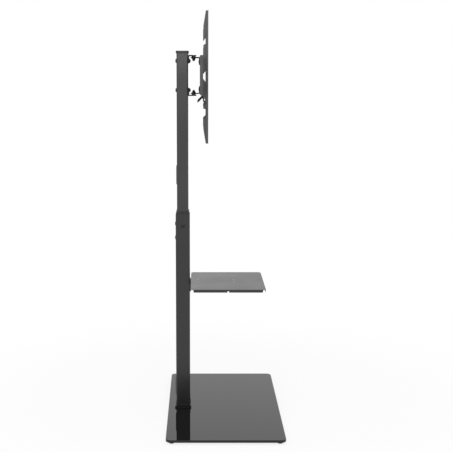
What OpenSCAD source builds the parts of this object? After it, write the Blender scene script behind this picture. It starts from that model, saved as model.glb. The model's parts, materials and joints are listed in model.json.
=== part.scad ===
// Floor stand for a television: glass base, telescopic column, shelf,
// swivel head with a cross rail, and two sliding arms.
// +Z is up, the front faces -Y, and the origin is on the floor below the middle of the base.

/* [Base] */
// Width of the glass base, side to side
base_w = 700; // [520:10:900]
// Depth of the glass base, front to back
base_d = 400; // [340:10:560]
// Thickness of the glass
glass_t = 9; // [6:0.5:12]
// Corner radius of the glass
base_corner_r = 18; // [8:1:30]
// Bevel on the edges of the glass
glass_bevel = 1; // [0.5:0.1:1.6]
// Height of the feet below the glass
foot_h = 7; // [6.5:0.5:14]
// Diameter of a foot
foot_d = 22; // [16:1:36]
// From the sides of the glass to the centre of a foot
foot_inset = 20; // [19:1:50]
// From the rear edge of the glass to the column's axis
column_inset = 53; // [48:1:120]

/* [Column] */
// Width of the lower tube, side to side
lower_w = 70; // [68:0.5:80]
// Depth of the lower tube, front to back
lower_d = 50; // [48.5:0.5:58]
// Width of the upper tube
upper_w = 60; // [52:0.5:61.5]
// Depth of the upper tube
upper_d = 40; // [34:0.5:41.5]
// Wall thickness of both tubes
tube_wall = 2; // [1.5:0.1:2.4]
// Outer corner radius of both tubes
tube_corner_r = 4; // [3:0.25:6]
// Top of the lower tube above the glass
lower_rise = 706; // [640:1:725]
// Top of the upper tube above the glass
upper_rise = 1266; // [1250:1:1400]
// Length of the upper tube held in the lower one
overlap = 136; // [128:1:150]
// How far the upper tube can be lowered
height_travel = 90; // [40:1:92]

/* [Cable ports] */
// Centre of the lower port above the glass
lower_port_rise = 70; // [50:1:160]
// Centre of the upper port above the top of the lower tube
upper_port_gap = 138; // [136:1:260]
// Height of the opening cut in the tube
port_h = 60; // [40:1:64]
// Width of the opening cut in the tube
port_w = 26; // [20:1:30]
// How far the grommet stands proud of the tube
port_proud = 2.5; // [1.5:0.1:3.5]

/* [Shelf] */
// Width of the shelf, side to side
shelf_w = 296; // [240:2:400]
// Depth of the shelf, front to back
shelf_d = 260; // [220:2:320]
// Top of the shelf above the glass
shelf_rise = 462; // [300:1:466]
// Sheet thickness of the shelf
shelf_t = 1.5; // [1.2:0.1:2.5]
// Depth of the turned-down edges below the sheet
shelf_edge = 8.6; // [6:0.1:11]
// Thickness of the bracket that carries the shelf
shelf_bracket_t = 3; // [2:0.1:4]

/* [Swivel head] */
// Middle of the swivel head above the glass
head_rise = 1190; // [1120:1:1192]
// From the front of the upper tube to the swivel axis
pivot_reach = 19.2; // [18:0.1:30]
// From the middle of the head to the outer face of a column bracket
column_bracket_rise = 70; // [66:0.1:80]
// Width of a column bracket
column_bracket_w = 50; // [44:1:58]
// Sheet thickness of a column bracket
column_bracket_t = 3.5; // [3:0.1:4]
// Width of a head bracket
head_bracket_w = 60; // [44:1:64]
// Sheet thickness of a head bracket
head_bracket_t = 3.3; // [2:0.1:3.5]
// From the swivel axis to the rear face of the rail
rail_setback = 21.3; // [21:0.1:36]

/* [Rail] */
// Length of the cross rail between its end caps
rail_l = 440; // [400:10:620]
// Sheet thickness of the rail
rail_t = 2.5; // [2:0.1:3]
// Depth of the rail, front to back
rail_depth = 10.5; // [8:0.1:12]
// Top of the rail's upper fold above the middle of the head
rail_top = 55; // [52:0.5:58]
// Bottom of the rail's lower fold below the middle of the head
rail_bottom = 60; // [52:0.5:62]
// Height of the lip above the upper fold
upper_lip = 7.5; // [5:0.5:10]
// Height of the lip below the lower fold
lower_lip = 6; // [4:0.5:6]

/* [Arms] */
// Length of an arm
arm_l = 440; // [430:1:500]
// Middle of the arms below the middle of the head
arm_drop = 8; // [0:0.5:14]
// Width of an arm
arm_w = 30; // [28:1:34]
// Sheet thickness of an arm
arm_t = 2; // [1.5:0.1:2.2]
// From the stand's middle to the middle of an arm
arm_x = 127; // [100:1:180]
// From the swivel axis to the face that meets the television
face_reach = 49.4; // [48:0.1:60]
// Depth of an arm's sides
arm_depth = 16.5; // [14:0.1:17]
// Width of a television bolt slot
tv_slot_w = 8.6; // [6.6:0.1:9]
// Length of a television bolt slot
tv_slot_l = 24; // [12:1:30]

/* [Hidden] */
$fn = 48;

// Overrun of every cut
cut = 1;
// Clearances: sliding parts, parts that are only seated, and turning or threaded parts
slide_gap = 0.3;
seat_gap = 0.15;
run_gap = 0.05;

// Clamped joint between glass and column
gasket_t = 1;
under_plate_t = 2;
under_plate_margin = [20, 20];
foot_plate_t = 6;
foot_plate_margin = [10.5, 4.5];
foot_tab_t = 1.2;
foot_tab_h = 23;
foot_tab_w = 40;
foot_taper = 1.5;
foot_rim = 1.2;
base_bolt_r = 4;
base_bolt_head_r = 6.5;
base_bolt_head_h = 2.6;
base_bolt_inset = 10;
base_bolt_end = 4;
bush_wall = 1.8;

// Column guide and clamp
bushing_depth = 120;
lip_foot_h = 1.5;
lip_h = 11;
lip_foot_step = 0.4;
lip_step = 2.2;
side_screw_drop = 39.5;
side_screw_r = 3;
side_screw_head_r = 7.5;
side_screw_head_h = 2.8;
clamp_bolt_r = 4;
clamp_head_r = 7;
clamp_head_h = 2.9;
clamp_bolt_drop = 36;
clamp_pitch = 50;
clamp_bar_w = 24;
clamp_bar_t = 6;
clamp_bar_end = 15;
shoe_h = 10;
shoe_plug_h = 16;
shoe_wall = 2.5;
cap_h = 8.4;
cap_overhang = 2.2;
cap_bevel = 1;
cap_plug_h = 9;
cap_plug_wall = 2;

// Cable port grommets
port_rim = 4;
port_bevel = 1;
port_face_share = 0.6;
port_lip = 2;
port_lip_t = 1.5;
port_skin = 3.5;

// Shelf
shelf_corner_r = 12;
edge_inset = 10;
edge_corner_r = 4;
edge_notch_w = 6;
edge_notch_h = 4.5;
rear_edge_gap = 84;
bracket_w = 64;
bracket_below = 31;
bracket_above = 4;
bracket_reach = 170;
bracket_bolt_r = 3;
bracket_bolt_head_r = 5.5;
bracket_bolt_head_h = 2.6;
bracket_bolt_x = 20;
bracket_bolt_drop = 17;
rivet_r = 4.5;
rivet_l = 12;
rivet_bulge_r = 6;
rivet_bulge_l = 4;
stud_r = 2.5;
stud_x = 22;
stud_rear = 26;
stud_front = 16;
stud_nut_af = 8;
stud_nut_h = 4;
stud_end = 1;

// Column brackets and pivots
column_leg_h = 28.2;
column_nose_r = 9.5;
column_shoulder = 3;
column_nose_share = 0.9;
mount_bolt_r = 4;
mount_head_r = 7;
mount_head_h = 3.9;
mount_bolt_x = 15;
mount_bolt_z = 50;
mount_nut_af = 13;
mount_nut_h = 3.2;
mount_bolt_end = 1.8;
pivot_r = 3;
pivot_head_r = 7.4;
pivot_cone_h = 3;
washer_r = 7.2;
swivel_spacer_t = 3.4;
swivel_washer_t = 1;
pivot_washer_t = 1.6;
pivot_nut_af = 10;
pivot_nut_h = 6;
pivot_end = 1.6;

// Head brackets and rail
head_leg_h = 26.3;
head_nose_r = 10.5;
head_shoulder = 14;
head_bolt_r = 3;
head_bolt_head_r = 5.5;
head_bolt_head_h = 1.2;
head_bolt_x = 15;
head_bolt_z = 47;
head_nut_af = 10;
head_nut_h = 4.5;
head_bolt_end = 0.8;
rail_slot_w = 62;
rail_slot_h = 40;
rail_slot_x = [88, 168];
cap_plate_t = 2.5;
cap_plate_lip = 1;
cap_top_chamfer = 2;
cap_low_chamfer = 5;
cap_block_l = 4;

// Arms
arm_tip = 8;
arm_taper = 50;
arm_tip_r = 6;
arm_step = 1.5;
arm_step_at = 6.5;
arm_step_run = 2;
hook_cover = 3.5;
hook_chamfer = 3.5;
tv_spacings = [100, 200, 300, 400];
notch_floor = 7.6;
top_notch = [103, 134];
top_notch_mouth = [99, 123];
low_notch = [-141, -112];
low_notch_mouth = [-149, -111];
window = [-24, 16.5];
window_rear = [-10.8, 4.2];
window_rear_at = 17.3;
latch_notch = [-97, -79];
latch_notch_mouth = [-98.5, -76.5];
latch_notch_floor = 9.6;
latch_w = 20;
latch_pull_at = [0, -80];
latch_pull_r = 18.4;
latch_pull_t = 4.4;
latch_pull_low = -62;
latch_pull_high = 52;
latch_block_l = 6;
latch_block_up = 4;
latch_block_down = 8;
latch_block_at = 4;
lock_r = 2.75;
lock_head_r = 4.4;
lock_head_h = 2.5;
lock_back = 14;
lock_l = 43;
lock_angle = 45;
lock_at = [17.2, -69.9];

// Shapes of bolts and nuts
socket_r_share = 0.42;
socket_depth_share = 0.6;
rim_share = 0.35;
crown_share = 0.62;

// Heights and places worked out from the sizes above
glass_top = foot_h + glass_t;
col_y = base_d / 2 - column_inset;
under_plate_z = foot_h - gasket_t - under_plate_t;
foot_plate_top = glass_top + gasket_t + foot_plate_t;
lower_top = glass_top + lower_rise;
upper_top = glass_top + upper_rise;
upper_bottom = lower_top - overlap;
lower_port_z = glass_top + lower_port_rise;
upper_port_z = lower_top + upper_port_gap;
lower_front = col_y - lower_d / 2;
lower_rear = col_y + lower_d / 2;
upper_front = col_y - upper_d / 2;
upper_rear = col_y + upper_d / 2;
bore_w = lower_w - 2 * tube_wall;
bore_d = lower_d - 2 * tube_wall;
bore_r = tube_corner_r - tube_wall;
base_bolt_x = bore_w / 2 - base_bolt_inset;
base_bolt_y = bore_d / 2 - base_bolt_inset;
clamp_z = lower_top - clamp_bolt_drop;
clamp_bar_rear = upper_rear - tube_wall - slide_gap;
clamp_bar_front = clamp_bar_rear - clamp_bar_t;
shelf_top = glass_top + shelf_rise;
shelf_under = shelf_top - shelf_t;
bracket_front = lower_front - shelf_bracket_t;
shelf_rear = bracket_front - slide_gap;
shelf_y = shelf_rear - shelf_d / 2;
bracket_bolt_z = shelf_top - bracket_bolt_drop;
pivot_y = upper_front - pivot_reach;
head_z = glass_top + head_rise;
pad_top = column_bracket_rise - column_bracket_t - swivel_spacer_t - seat_gap;
pad_low = pad_top - head_bracket_t;
lower_washer_top = pad_low - seat_gap;
nut_top = lower_washer_top - swivel_washer_t - pivot_washer_t;
pivot_l = column_bracket_rise - nut_top + pivot_nut_h + pivot_end;
rail_front = rail_setback + rail_depth;
web_front = rail_setback + rail_t;
lip_u = face_reach - rail_front;
web_u = face_reach - web_front;
neck_u = lip_u - slide_gap;
hook_u = web_u - slide_gap;
behind_lip_u = lip_u + rail_t + slide_gap;
lip_top = rail_top + upper_lip;
lip_low = rail_bottom + lower_lip;
hook_top = lip_top + slide_gap + hook_cover;
arm_low_end = -arm_drop - arm_l / 2;
arm_high_end = -arm_drop + arm_l / 2;

// Colours
steel_black = [0.2, 0.2, 0.21];
bracket_black = [0.1, 0.1, 0.1];
glass_black = [0.05, 0.05, 0.06];
plastic_black = [0.15, 0.15, 0.15];
rubber_black = [0.08, 0.08, 0.08];
zinc = [0.72, 0.73, 0.75];

// Flat shapes

module rounded(w, d, r) {
    square([w - 2 * r, d], center = true);
    square([w, d - 2 * r], center = true);
    for (x = [-1, 1], y = [-1, 1])
        translate([x * (w / 2 - r), y * (d / 2 - r)])
            circle(r);
}

module oblong(w, h) {
    square([w, h - w], center = true);
    for (side = [-1, 1])
        translate([0, side * (h - w) / 2])
            circle(w / 2);
}

// A strip of sheet that follows points along its middle, with rounded bends
module bent_strip(points, t) {
    for (i = [0 : len(points) - 2]) {
        run = points[i + 1] - points[i];
        translate(points[i])
            rotate(atan2(run[1], run[0]))
                translate([0, -t / 2])
                    square([norm(run), t]);
    }
    for (i = [1 : len(points) - 2])
        translate(points[i])
            circle(t / 2);
}

// Directions

// Extrudes a shape drawn in X and Z from y0 to y1
module along_y(y0, y1) {
    translate([0, y1, 0])
        rotate([90, 0, 0])
            linear_extrude(y1 - y0)
                children();
}

// Extrudes a shape drawn in Y and Z from x0 to x1
module along_x(x0, x1) {
    translate([x0, 0, 0])
        rotate([90, 0, 90])
            linear_extrude(x1 - x0)
                children();
}

module head_to_rear() {
    rotate([-90, 0, 0])
        children();
}

module head_to_front() {
    rotate([90, 0, 0])
        children();
}

module on_column(z) {
    translate([0, col_y, z])
        children();
}

module on_head() {
    translate([0, pivot_y, head_z])
        children();
}

module on_arm(side) {
    on_head()
        translate([side * arm_x, -face_reach, 0])
            children();
}

// Bolts and nuts, along Z with the head's seat at 0

module button_bolt(r, head_r, head_h, length) {
    difference() {
        rotate_extrude()
            polygon([
                [0, -length], [r, -length], [r, 0], [head_r, 0], [head_r, head_h * rim_share],
                [head_r * crown_share, head_h], [0, head_h]
            ]);
        translate([0, 0, head_h * (1 - socket_depth_share)])
            cylinder(r = head_r * socket_r_share, h = head_h, $fn = 6);
    }
}

module hex_nut(flats, h, r) {
    difference() {
        cylinder(d = flats / cos(30), h = h, $fn = 6);
        translate([0, 0, -cut])
            cylinder(r = r + run_gap, h = h + 2 * cut);
    }
}

module washer(outer, inner, h) {
    difference() {
        cylinder(r = outer, h = h);
        translate([0, 0, -cut])
            cylinder(r = inner, h = h + 2 * cut);
    }
}

// Base

module at_base_bolts(z) {
    for (x = [-1, 1], y = [-1, 1])
        translate([x * base_bolt_x, col_y + y * base_bolt_y, z])
            children();
}

// Half outline of the glass edge with its bevels, from the middle out to reach
module glass_edge(reach) {
    polygon([
        [0, foot_h], [reach - glass_bevel, foot_h], [reach, foot_h + glass_bevel],
        [reach, glass_top - glass_bevel], [reach - glass_bevel, glass_top], [0, glass_top]
    ]);
}

module both_sides() {
    children();
    mirror([1, 0])
        children();
}

module base_glass() {
    color(glass_black)
        difference() {
            union() {
                along_x(-base_w / 2 + base_corner_r, base_w / 2 - base_corner_r)
                    both_sides()
                        glass_edge(base_d / 2);
                along_y(-base_d / 2 + base_corner_r, base_d / 2 - base_corner_r)
                    both_sides()
                        glass_edge(base_w / 2);
                for (x = [-1, 1], y = [-1, 1])
                    translate([x * (base_w / 2 - base_corner_r), y * (base_d / 2 - base_corner_r), 0])
                        rotate_extrude()
                            glass_edge(base_corner_r);
            }
            at_base_bolts(foot_h - cut)
                cylinder(r = base_bolt_r + seat_gap + bush_wall + seat_gap, h = glass_t + 2 * cut);
        }
}

module base_feet() {
    color(rubber_black)
        for (x = [-1, 1], y = [-1, 1])
            translate([x * (base_w / 2 - foot_inset), y * (base_d / 2 - foot_inset), 0])
                rotate_extrude()
                    polygon([
                        [0, 0], [foot_d / 2 - foot_taper - foot_rim, 0],
                        [foot_d / 2 - foot_taper, foot_rim], [foot_d / 2, foot_h], [0, foot_h]
                    ]);
}

module glass_bushes() {
    color(plastic_black)
        at_base_bolts(foot_h)
            washer(base_bolt_r + seat_gap + bush_wall, base_bolt_r + seat_gap, glass_t);
}

// Rounded plate under or over the glass, with the four bolt holes
module bolted_plate(margin, z, t, hole_r) {
    difference() {
        on_column(z)
            linear_extrude(t)
                rounded(lower_w + 2 * margin[0], lower_d + 2 * margin[1], tube_corner_r + margin[1]);
        at_base_bolts(z - cut)
            cylinder(r = hole_r, h = t + 2 * cut);
    }
}

module under_gasket() {
    color(rubber_black)
        bolted_plate(under_plate_margin, foot_h - gasket_t, gasket_t, base_bolt_r + seat_gap);
}

module under_plate() {
    color(zinc)
        bolted_plate(under_plate_margin, under_plate_z, under_plate_t, base_bolt_r + seat_gap);
}

module base_bolts() {
    color(zinc)
        at_base_bolts(under_plate_z)
            mirror([0, 0, 1])
                button_bolt(base_bolt_r, base_bolt_head_r, base_bolt_head_h,
                    foot_plate_top - under_plate_z + base_bolt_end);
}

module foot_gasket() {
    color(rubber_black)
        bolted_plate(foot_plate_margin, glass_top, gasket_t, base_bolt_r + seat_gap);
}

module foot_plate() {
    color(steel_black) {
        bolted_plate(foot_plate_margin, glass_top + gasket_t, foot_plate_t, base_bolt_r + run_gap);
        translate([-foot_tab_w / 2, lower_front - foot_tab_t, foot_plate_top])
            cube([foot_tab_w, foot_tab_t, foot_tab_h]);
    }
}

// Column

module tube(w, d, z0, z1) {
    on_column(z0)
        linear_extrude(z1 - z0)
            difference() {
                rounded(w, d, tube_corner_r);
                rounded(w - 2 * tube_wall, d - 2 * tube_wall, bore_r);
            }
}

module port_cut(wall_y, z) {
    translate([0, wall_y, z])
        along_y(-tube_wall - cut, cut)
            oblong(port_w, port_h);
}

module grommet(wall_y, z) {
    translate([0, wall_y, z])
        difference() {
            union() {
                along_y(0, port_proud * port_face_share)
                    oblong(port_w + 2 * port_rim, port_h + 2 * port_rim);
                along_y(0, port_proud)
                    oblong(port_w + 2 * port_rim - 2 * port_bevel, port_h + 2 * port_rim - 2 * port_bevel);
                along_y(-tube_wall, 0)
                    oblong(port_w - 2 * seat_gap, port_h - 2 * seat_gap);
                along_y(-tube_wall - port_lip_t, -tube_wall)
                    oblong(port_w + 2 * port_lip, port_h + 2 * port_lip);
            }
            along_y(-tube_wall - port_lip_t - cut, port_proud + cut)
                oblong(port_w - 2 * port_skin, port_h - 2 * port_skin);
        }
}

module at_clamp_bolts(y) {
    for (i = [0, 1])
        translate([0, y, clamp_z - i * clamp_pitch])
            head_to_rear()
                children();
}

module at_side_screws(x) {
    for (side = [-1, 1])
        translate([side * x, col_y, lower_top - side_screw_drop])
            rotate([0, side * 90, 0])
                children();
}

module at_bracket_bolts(y) {
    for (side = [-1, 1])
        translate([side * bracket_bolt_x, y, bracket_bolt_z])
            head_to_front()
                children();
}

module lower_tube() {
    color(steel_black)
        difference() {
            tube(lower_w, lower_d, foot_plate_top, lower_top);
            port_cut(lower_rear, lower_port_z);
            at_clamp_bolts(lower_rear - tube_wall - cut)
                cylinder(r = clamp_bolt_r + seat_gap, h = tube_wall + 2 * cut);
            at_side_screws(lower_w / 2 - tube_wall - cut)
                cylinder(r = side_screw_r + run_gap, h = tube_wall + 2 * cut);
            at_bracket_bolts(lower_front + tube_wall + cut)
                cylinder(r = rivet_r + run_gap, h = tube_wall + 2 * cut);
        }
}

module lower_grommet() {
    color(plastic_black)
        grommet(lower_rear, lower_port_z);
}

module column_bushing() {
    sleeve_w = bore_w - 2 * seat_gap;
    sleeve_d = bore_d - 2 * seat_gap;
    color(plastic_black)
        difference() {
            union() {
                on_column(lower_top - bushing_depth)
                    linear_extrude(bushing_depth)
                        rounded(sleeve_w, sleeve_d, bore_r);
                on_column(lower_top)
                    linear_extrude(lip_foot_h)
                        rounded(lower_w - 2 * lip_foot_step, lower_d - 2 * lip_foot_step, tube_corner_r);
                on_column(lower_top)
                    linear_extrude(lip_h)
                        rounded(lower_w - 2 * lip_step, lower_d - 2 * lip_step, tube_corner_r);
            }
            on_column(lower_top - bushing_depth - cut)
                linear_extrude(bushing_depth + lip_h + 2 * cut)
                    rounded(upper_w + 2 * slide_gap, upper_d + 2 * slide_gap, tube_corner_r);
            at_clamp_bolts(upper_rear - cut)
                cylinder(r = clamp_bolt_r + seat_gap, h = (lower_d - upper_d) / 2 + cut);
            at_side_screws(upper_w / 2 - cut)
                cylinder(r = side_screw_r + run_gap, h = (lower_w - upper_w) / 2 + cut);
        }
}

module side_screws() {
    color(bracket_black)
        at_side_screws(lower_w / 2)
            button_bolt(side_screw_r, side_screw_head_r, side_screw_head_h,
                (lower_w - upper_w) / 2 - 2 * slide_gap);
}

module clamp_bolts() {
    color(bracket_black)
        at_clamp_bolts(lower_rear)
            button_bolt(clamp_bolt_r, clamp_head_r, clamp_head_h, lower_rear - clamp_bar_front + cut);
}

module clamp_bar() {
    bar_h = clamp_pitch + 2 * clamp_bar_end;
    color(zinc)
        difference() {
            translate([-clamp_bar_w / 2, clamp_bar_front, clamp_z - clamp_pitch - clamp_bar_end])
                cube([clamp_bar_w, clamp_bar_t, bar_h]);
            at_clamp_bolts(clamp_bar_front - cut)
                cylinder(r = clamp_bolt_r + run_gap, h = clamp_bar_t + 2 * cut);
        }
}

// Shelf

module shelf_bracket() {
    color(bracket_black)
        difference() {
            union() {
                along_y(bracket_front, lower_front)
                    translate([-bracket_w / 2, shelf_top - bracket_below])
                        square([bracket_w, bracket_below + bracket_above]);
                translate([-bracket_w / 2, bracket_front - bracket_reach, shelf_under - shelf_bracket_t])
                    cube([bracket_w, bracket_reach, shelf_bracket_t]);
            }
            at_bracket_bolts(lower_front + cut)
                cylinder(r = bracket_bolt_r + seat_gap, h = shelf_bracket_t + 2 * cut);
            at_studs(shelf_under - shelf_bracket_t - cut)
                cylinder(r = stud_r + seat_gap, h = shelf_bracket_t + 2 * cut);
        }
}

module shelf_bracket_bolts() {
    color(bracket_black)
        at_bracket_bolts(bracket_front)
            button_bolt(bracket_bolt_r, bracket_bolt_head_r, bracket_bolt_head_h,
                shelf_bracket_t + rivet_l);
}

module shelf_rivet_nuts() {
    color(zinc)
        at_bracket_bolts(lower_front)
            mirror([0, 0, 1])
                difference() {
                    union() {
                        cylinder(r = rivet_r, h = rivet_l);
                        translate([0, 0, tube_wall])
                            cylinder(r = rivet_bulge_r, h = rivet_bulge_l);
                    }
                    translate([0, 0, -cut])
                        cylinder(r = bracket_bolt_r + run_gap, h = rivet_l + 2 * cut);
                }
}

module at_studs(z) {
    for (x = [-stud_x, stud_x], y = [bracket_front - stud_rear, bracket_front - bracket_reach + stud_front])
        translate([x, y, z])
            children();
}

// A turned-down edge of the shelf, drawn hanging from 0, with its rounded lower corners
module edge_strip(l, notched) {
    difference() {
        union() {
            translate([-l / 2, -shelf_edge + edge_corner_r])
                square([l, shelf_edge - edge_corner_r + shelf_t]);
            translate([-l / 2 + edge_corner_r, -shelf_edge])
                square([l - 2 * edge_corner_r, edge_corner_r]);
            for (side = [-1, 1])
                translate([side * (l / 2 - edge_corner_r), -shelf_edge + edge_corner_r])
                    circle(edge_corner_r);
        }
        if (notched)
            translate([-edge_notch_w / 2, -shelf_edge - cut])
                square([edge_notch_w, edge_notch_h + cut]);
    }
}

module shelf_tray() {
    rear_l = (shelf_w - rear_edge_gap) / 2 - edge_inset;
    side_x = (shelf_w - shelf_t) / 2;
    color(steel_black)
        difference() {
            translate([0, shelf_y, shelf_under]) {
                linear_extrude(shelf_t)
                    rounded(shelf_w, shelf_d, shelf_corner_r);
                for (side = [-1, 1])
                    along_x(side * side_x - shelf_t / 2, side * side_x + shelf_t / 2)
                        edge_strip(shelf_d - 2 * edge_inset, true);
                along_y(-shelf_d / 2, -shelf_d / 2 + shelf_t)
                    edge_strip(shelf_w - 2 * edge_inset, false);
                for (side = [-1, 1])
                    translate([side * (rear_edge_gap + rear_l) / 2, 0, 0])
                        along_y(shelf_d / 2 - shelf_t, shelf_d / 2)
                            edge_strip(rear_l, false);
            }
            at_studs(shelf_under - cut)
                cylinder(r = stud_r + run_gap, h = shelf_t + 2 * cut);
        }
}

module shelf_studs() {
    stud_low = shelf_under - shelf_bracket_t - stud_nut_h - stud_end;
    color(zinc)
        at_studs(stud_low)
            cylinder(r = stud_r, h = shelf_top - stud_low);
}

module shelf_nuts() {
    color(zinc)
        at_studs(shelf_under - shelf_bracket_t - stud_nut_h)
            hex_nut(stud_nut_af, stud_nut_h, stud_r);
}

// Upper column

module at_mount_bolts(y) {
    for (x = [-1, 1], z = [-1, 1])
        translate([x * mount_bolt_x, y, head_z + z * mount_bolt_z])
            head_to_rear()
                children();
}

module upper_tube() {
    slot_low = clamp_z - clamp_pitch - clamp_bolt_r - 2 * slide_gap;
    slot_high = clamp_z + height_travel + clamp_bolt_r + 2 * slide_gap;
    color(steel_black)
        difference() {
            tube(upper_w, upper_d, upper_bottom, upper_top);
            port_cut(upper_rear, upper_port_z);
            translate([0, 0, (slot_low + slot_high) / 2])
                along_y(upper_rear - tube_wall - cut, upper_rear + cut)
                    oblong(2 * (clamp_bolt_r + slide_gap), slot_high - slot_low);
            at_mount_bolts(upper_front - cut)
                cylinder(r = mount_bolt_r + seat_gap, h = upper_d + 2 * cut);
        }
}

module glide_shoe() {
    plug_w = upper_w - 2 * tube_wall - 2 * seat_gap;
    plug_d = upper_d - 2 * tube_wall - 2 * seat_gap;
    color(plastic_black)
        difference() {
            union() {
                on_column(upper_bottom - shoe_h)
                    linear_extrude(shoe_h)
                        rounded(bore_w - 2 * slide_gap, bore_d - 2 * slide_gap, bore_r);
                on_column(upper_bottom)
                    linear_extrude(shoe_plug_h)
                        rounded(plug_w, plug_d, bore_r);
            }
            on_column(upper_bottom - shoe_h - cut)
                linear_extrude(shoe_h + shoe_plug_h + 2 * cut)
                    rounded(plug_w - 2 * shoe_wall, plug_d - 2 * shoe_wall, bore_r);
        }
}

module upper_grommet() {
    color(plastic_black)
        grommet(upper_rear, upper_port_z);
}

module top_cap() {
    w = upper_w + 2 * cap_overhang;
    d = upper_d + 2 * cap_overhang;
    plug_w = upper_w - 2 * tube_wall - 2 * seat_gap;
    plug_d = upper_d - 2 * tube_wall - 2 * seat_gap;
    color(plastic_black) {
        on_column(upper_top)
            linear_extrude(cap_h - cap_bevel)
                rounded(w, d, tube_corner_r + cap_overhang);
        on_column(upper_top + cap_h - cap_bevel)
            linear_extrude(cap_bevel)
                rounded(w - 2 * cap_bevel, d - 2 * cap_bevel, tube_corner_r + cap_overhang - cap_bevel);
        on_column(upper_top - cap_plug_h)
            linear_extrude(cap_plug_h)
                difference() {
                    rounded(plug_w, plug_d, bore_r);
                    rounded(plug_w - 2 * cap_plug_wall, plug_d - 2 * cap_plug_wall, bore_r);
                }
    }
}

// Swivel: the upper half of each pair is drawn from the middle of the head, the lower one mirrored

module lower_half() {
    mirror([0, 0, 1])
        children();
}

// Plan of a bracket that narrows from w at distance back to a round nose on the pivot
module nosed_plan(nose_r, w, back, far) {
    neck_x = nose_r * column_nose_share;
    circle(nose_r);
    polygon([[-neck_x, 0], [-w / 2, back], [-w / 2, far], [w / 2, far], [w / 2, back], [neck_x, 0]]);
}

module column_bracket() {
    leg_y = pivot_reach - column_bracket_t / 2;
    flange_z = column_bracket_rise - column_bracket_t / 2;
    shoulder_y = pivot_reach - column_bracket_t - column_shoulder;
    difference() {
        union() {
            along_x(-column_bracket_w / 2, column_bracket_w / 2)
                bent_strip([
                    [leg_y, column_bracket_rise - column_leg_h], [leg_y, flange_z], [shoulder_y, flange_z]
                ], column_bracket_t);
            translate([0, 0, column_bracket_rise - column_bracket_t])
                linear_extrude(column_bracket_t)
                    nosed_plan(column_nose_r, column_bracket_w, shoulder_y, shoulder_y + cut);
        }
        translate([0, 0, column_bracket_rise])
            rotate_extrude()
                polygon([
                    [0, -2 * column_bracket_t], [pivot_r + run_gap, -2 * column_bracket_t],
                    [pivot_r + run_gap, -pivot_cone_h], [pivot_head_r + run_gap, 0],
                    [pivot_head_r + run_gap, cut], [0, cut]
                ]);
        for (x = [-1, 1])
            translate([x * mount_bolt_x, pivot_reach - column_bracket_t - cut, mount_bolt_z])
                head_to_rear()
                    cylinder(r = mount_bolt_r + seat_gap, h = column_bracket_t + 2 * cut);
    }
}

module upper_column_bracket() {
    color(bracket_black)
        on_head()
            column_bracket();
}

module lower_column_bracket() {
    color(bracket_black)
        on_head()
            lower_half()
                column_bracket();
}

module mount_bolts() {
    color(bracket_black)
        at_mount_bolts(upper_rear)
            button_bolt(mount_bolt_r, mount_head_r, mount_head_h,
                upper_d + column_bracket_t + mount_nut_h + mount_bolt_end);
}

module mount_nuts() {
    color(bracket_black)
        at_mount_bolts(upper_front - column_bracket_t - mount_nut_h)
            hex_nut(mount_nut_af, mount_nut_h, mount_bolt_r);
}

module pivot_bolt() {
    translate([0, 0, column_bracket_rise])
        difference() {
            rotate_extrude()
                polygon([
                    [0, 0], [pivot_head_r, 0], [pivot_r, -pivot_cone_h], [pivot_r, -pivot_l], [0, -pivot_l]
                ]);
            translate([0, 0, -pivot_cone_h * socket_depth_share])
                cylinder(r = pivot_head_r * socket_r_share, h = pivot_cone_h, $fn = 6);
        }
}

module pivot_bolts() {
    color(bracket_black)
        on_head() {
            pivot_bolt();
            lower_half()
                pivot_bolt();
        }
}

module swivel_washer_pair() {
    translate([0, 0, column_bracket_rise - column_bracket_t - swivel_spacer_t])
        washer(washer_r, pivot_r + run_gap, swivel_spacer_t);
    translate([0, 0, lower_washer_top - swivel_washer_t])
        washer(washer_r, pivot_r + run_gap, swivel_washer_t);
}

module swivel_washers() {
    color(plastic_black)
        on_head() {
            swivel_washer_pair();
            lower_half()
                swivel_washer_pair();
        }
}

module pivot_washer() {
    translate([0, 0, nut_top])
        washer(washer_r, pivot_r + run_gap, pivot_washer_t);
}

module pivot_washers() {
    color(bracket_black)
        on_head() {
            pivot_washer();
            lower_half()
                pivot_washer();
        }
}

module pivot_nut() {
    translate([0, 0, nut_top - pivot_nut_h])
        hex_nut(pivot_nut_af, pivot_nut_h, pivot_r);
}

module pivot_nuts() {
    color(bracket_black)
        on_head() {
            pivot_nut();
            lower_half()
                pivot_nut();
        }
}

// Swivel head

module at_head_bolts(y, z) {
    for (x = [-1, 1])
        translate([x * head_bolt_x, y, z])
            head_to_rear()
                children();
}

module head_bracket() {
    leg_y = -rail_setback + head_bracket_t / 2;
    pad_z = pad_top - head_bracket_t / 2;
    difference() {
        intersection() {
            along_x(-head_bracket_w / 2, head_bracket_w / 2)
                bent_strip([
                    [head_nose_r + cut, pad_z], [leg_y, pad_z], [leg_y, pad_top - head_leg_h]
                ], head_bracket_t);
            linear_extrude(pad_top + cut)
                nosed_plan(head_nose_r, head_bracket_w, -head_shoulder, -rail_setback - cut);
        }
        translate([0, 0, pad_low - cut])
            cylinder(r = pivot_r + run_gap, h = head_bracket_t + 2 * cut);
        at_head_bolts(-rail_setback - cut, head_bolt_z)
            cylinder(r = head_bolt_r + seat_gap, h = head_bracket_t + 2 * cut);
    }
}

module upper_head_bracket() {
    color(bracket_black)
        on_head()
            head_bracket();
}

module lower_head_bracket() {
    color(bracket_black)
        on_head()
            lower_half()
                head_bracket();
}

module head_bolts() {
    color(bracket_black)
        on_head()
            for (z = [-head_bolt_z, head_bolt_z])
                at_head_bolts(-rail_setback + head_bracket_t, z)
                    button_bolt(head_bolt_r, head_bolt_head_r, head_bolt_head_h,
                        head_bracket_t + rail_t + head_nut_h + head_bolt_end);
}

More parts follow.
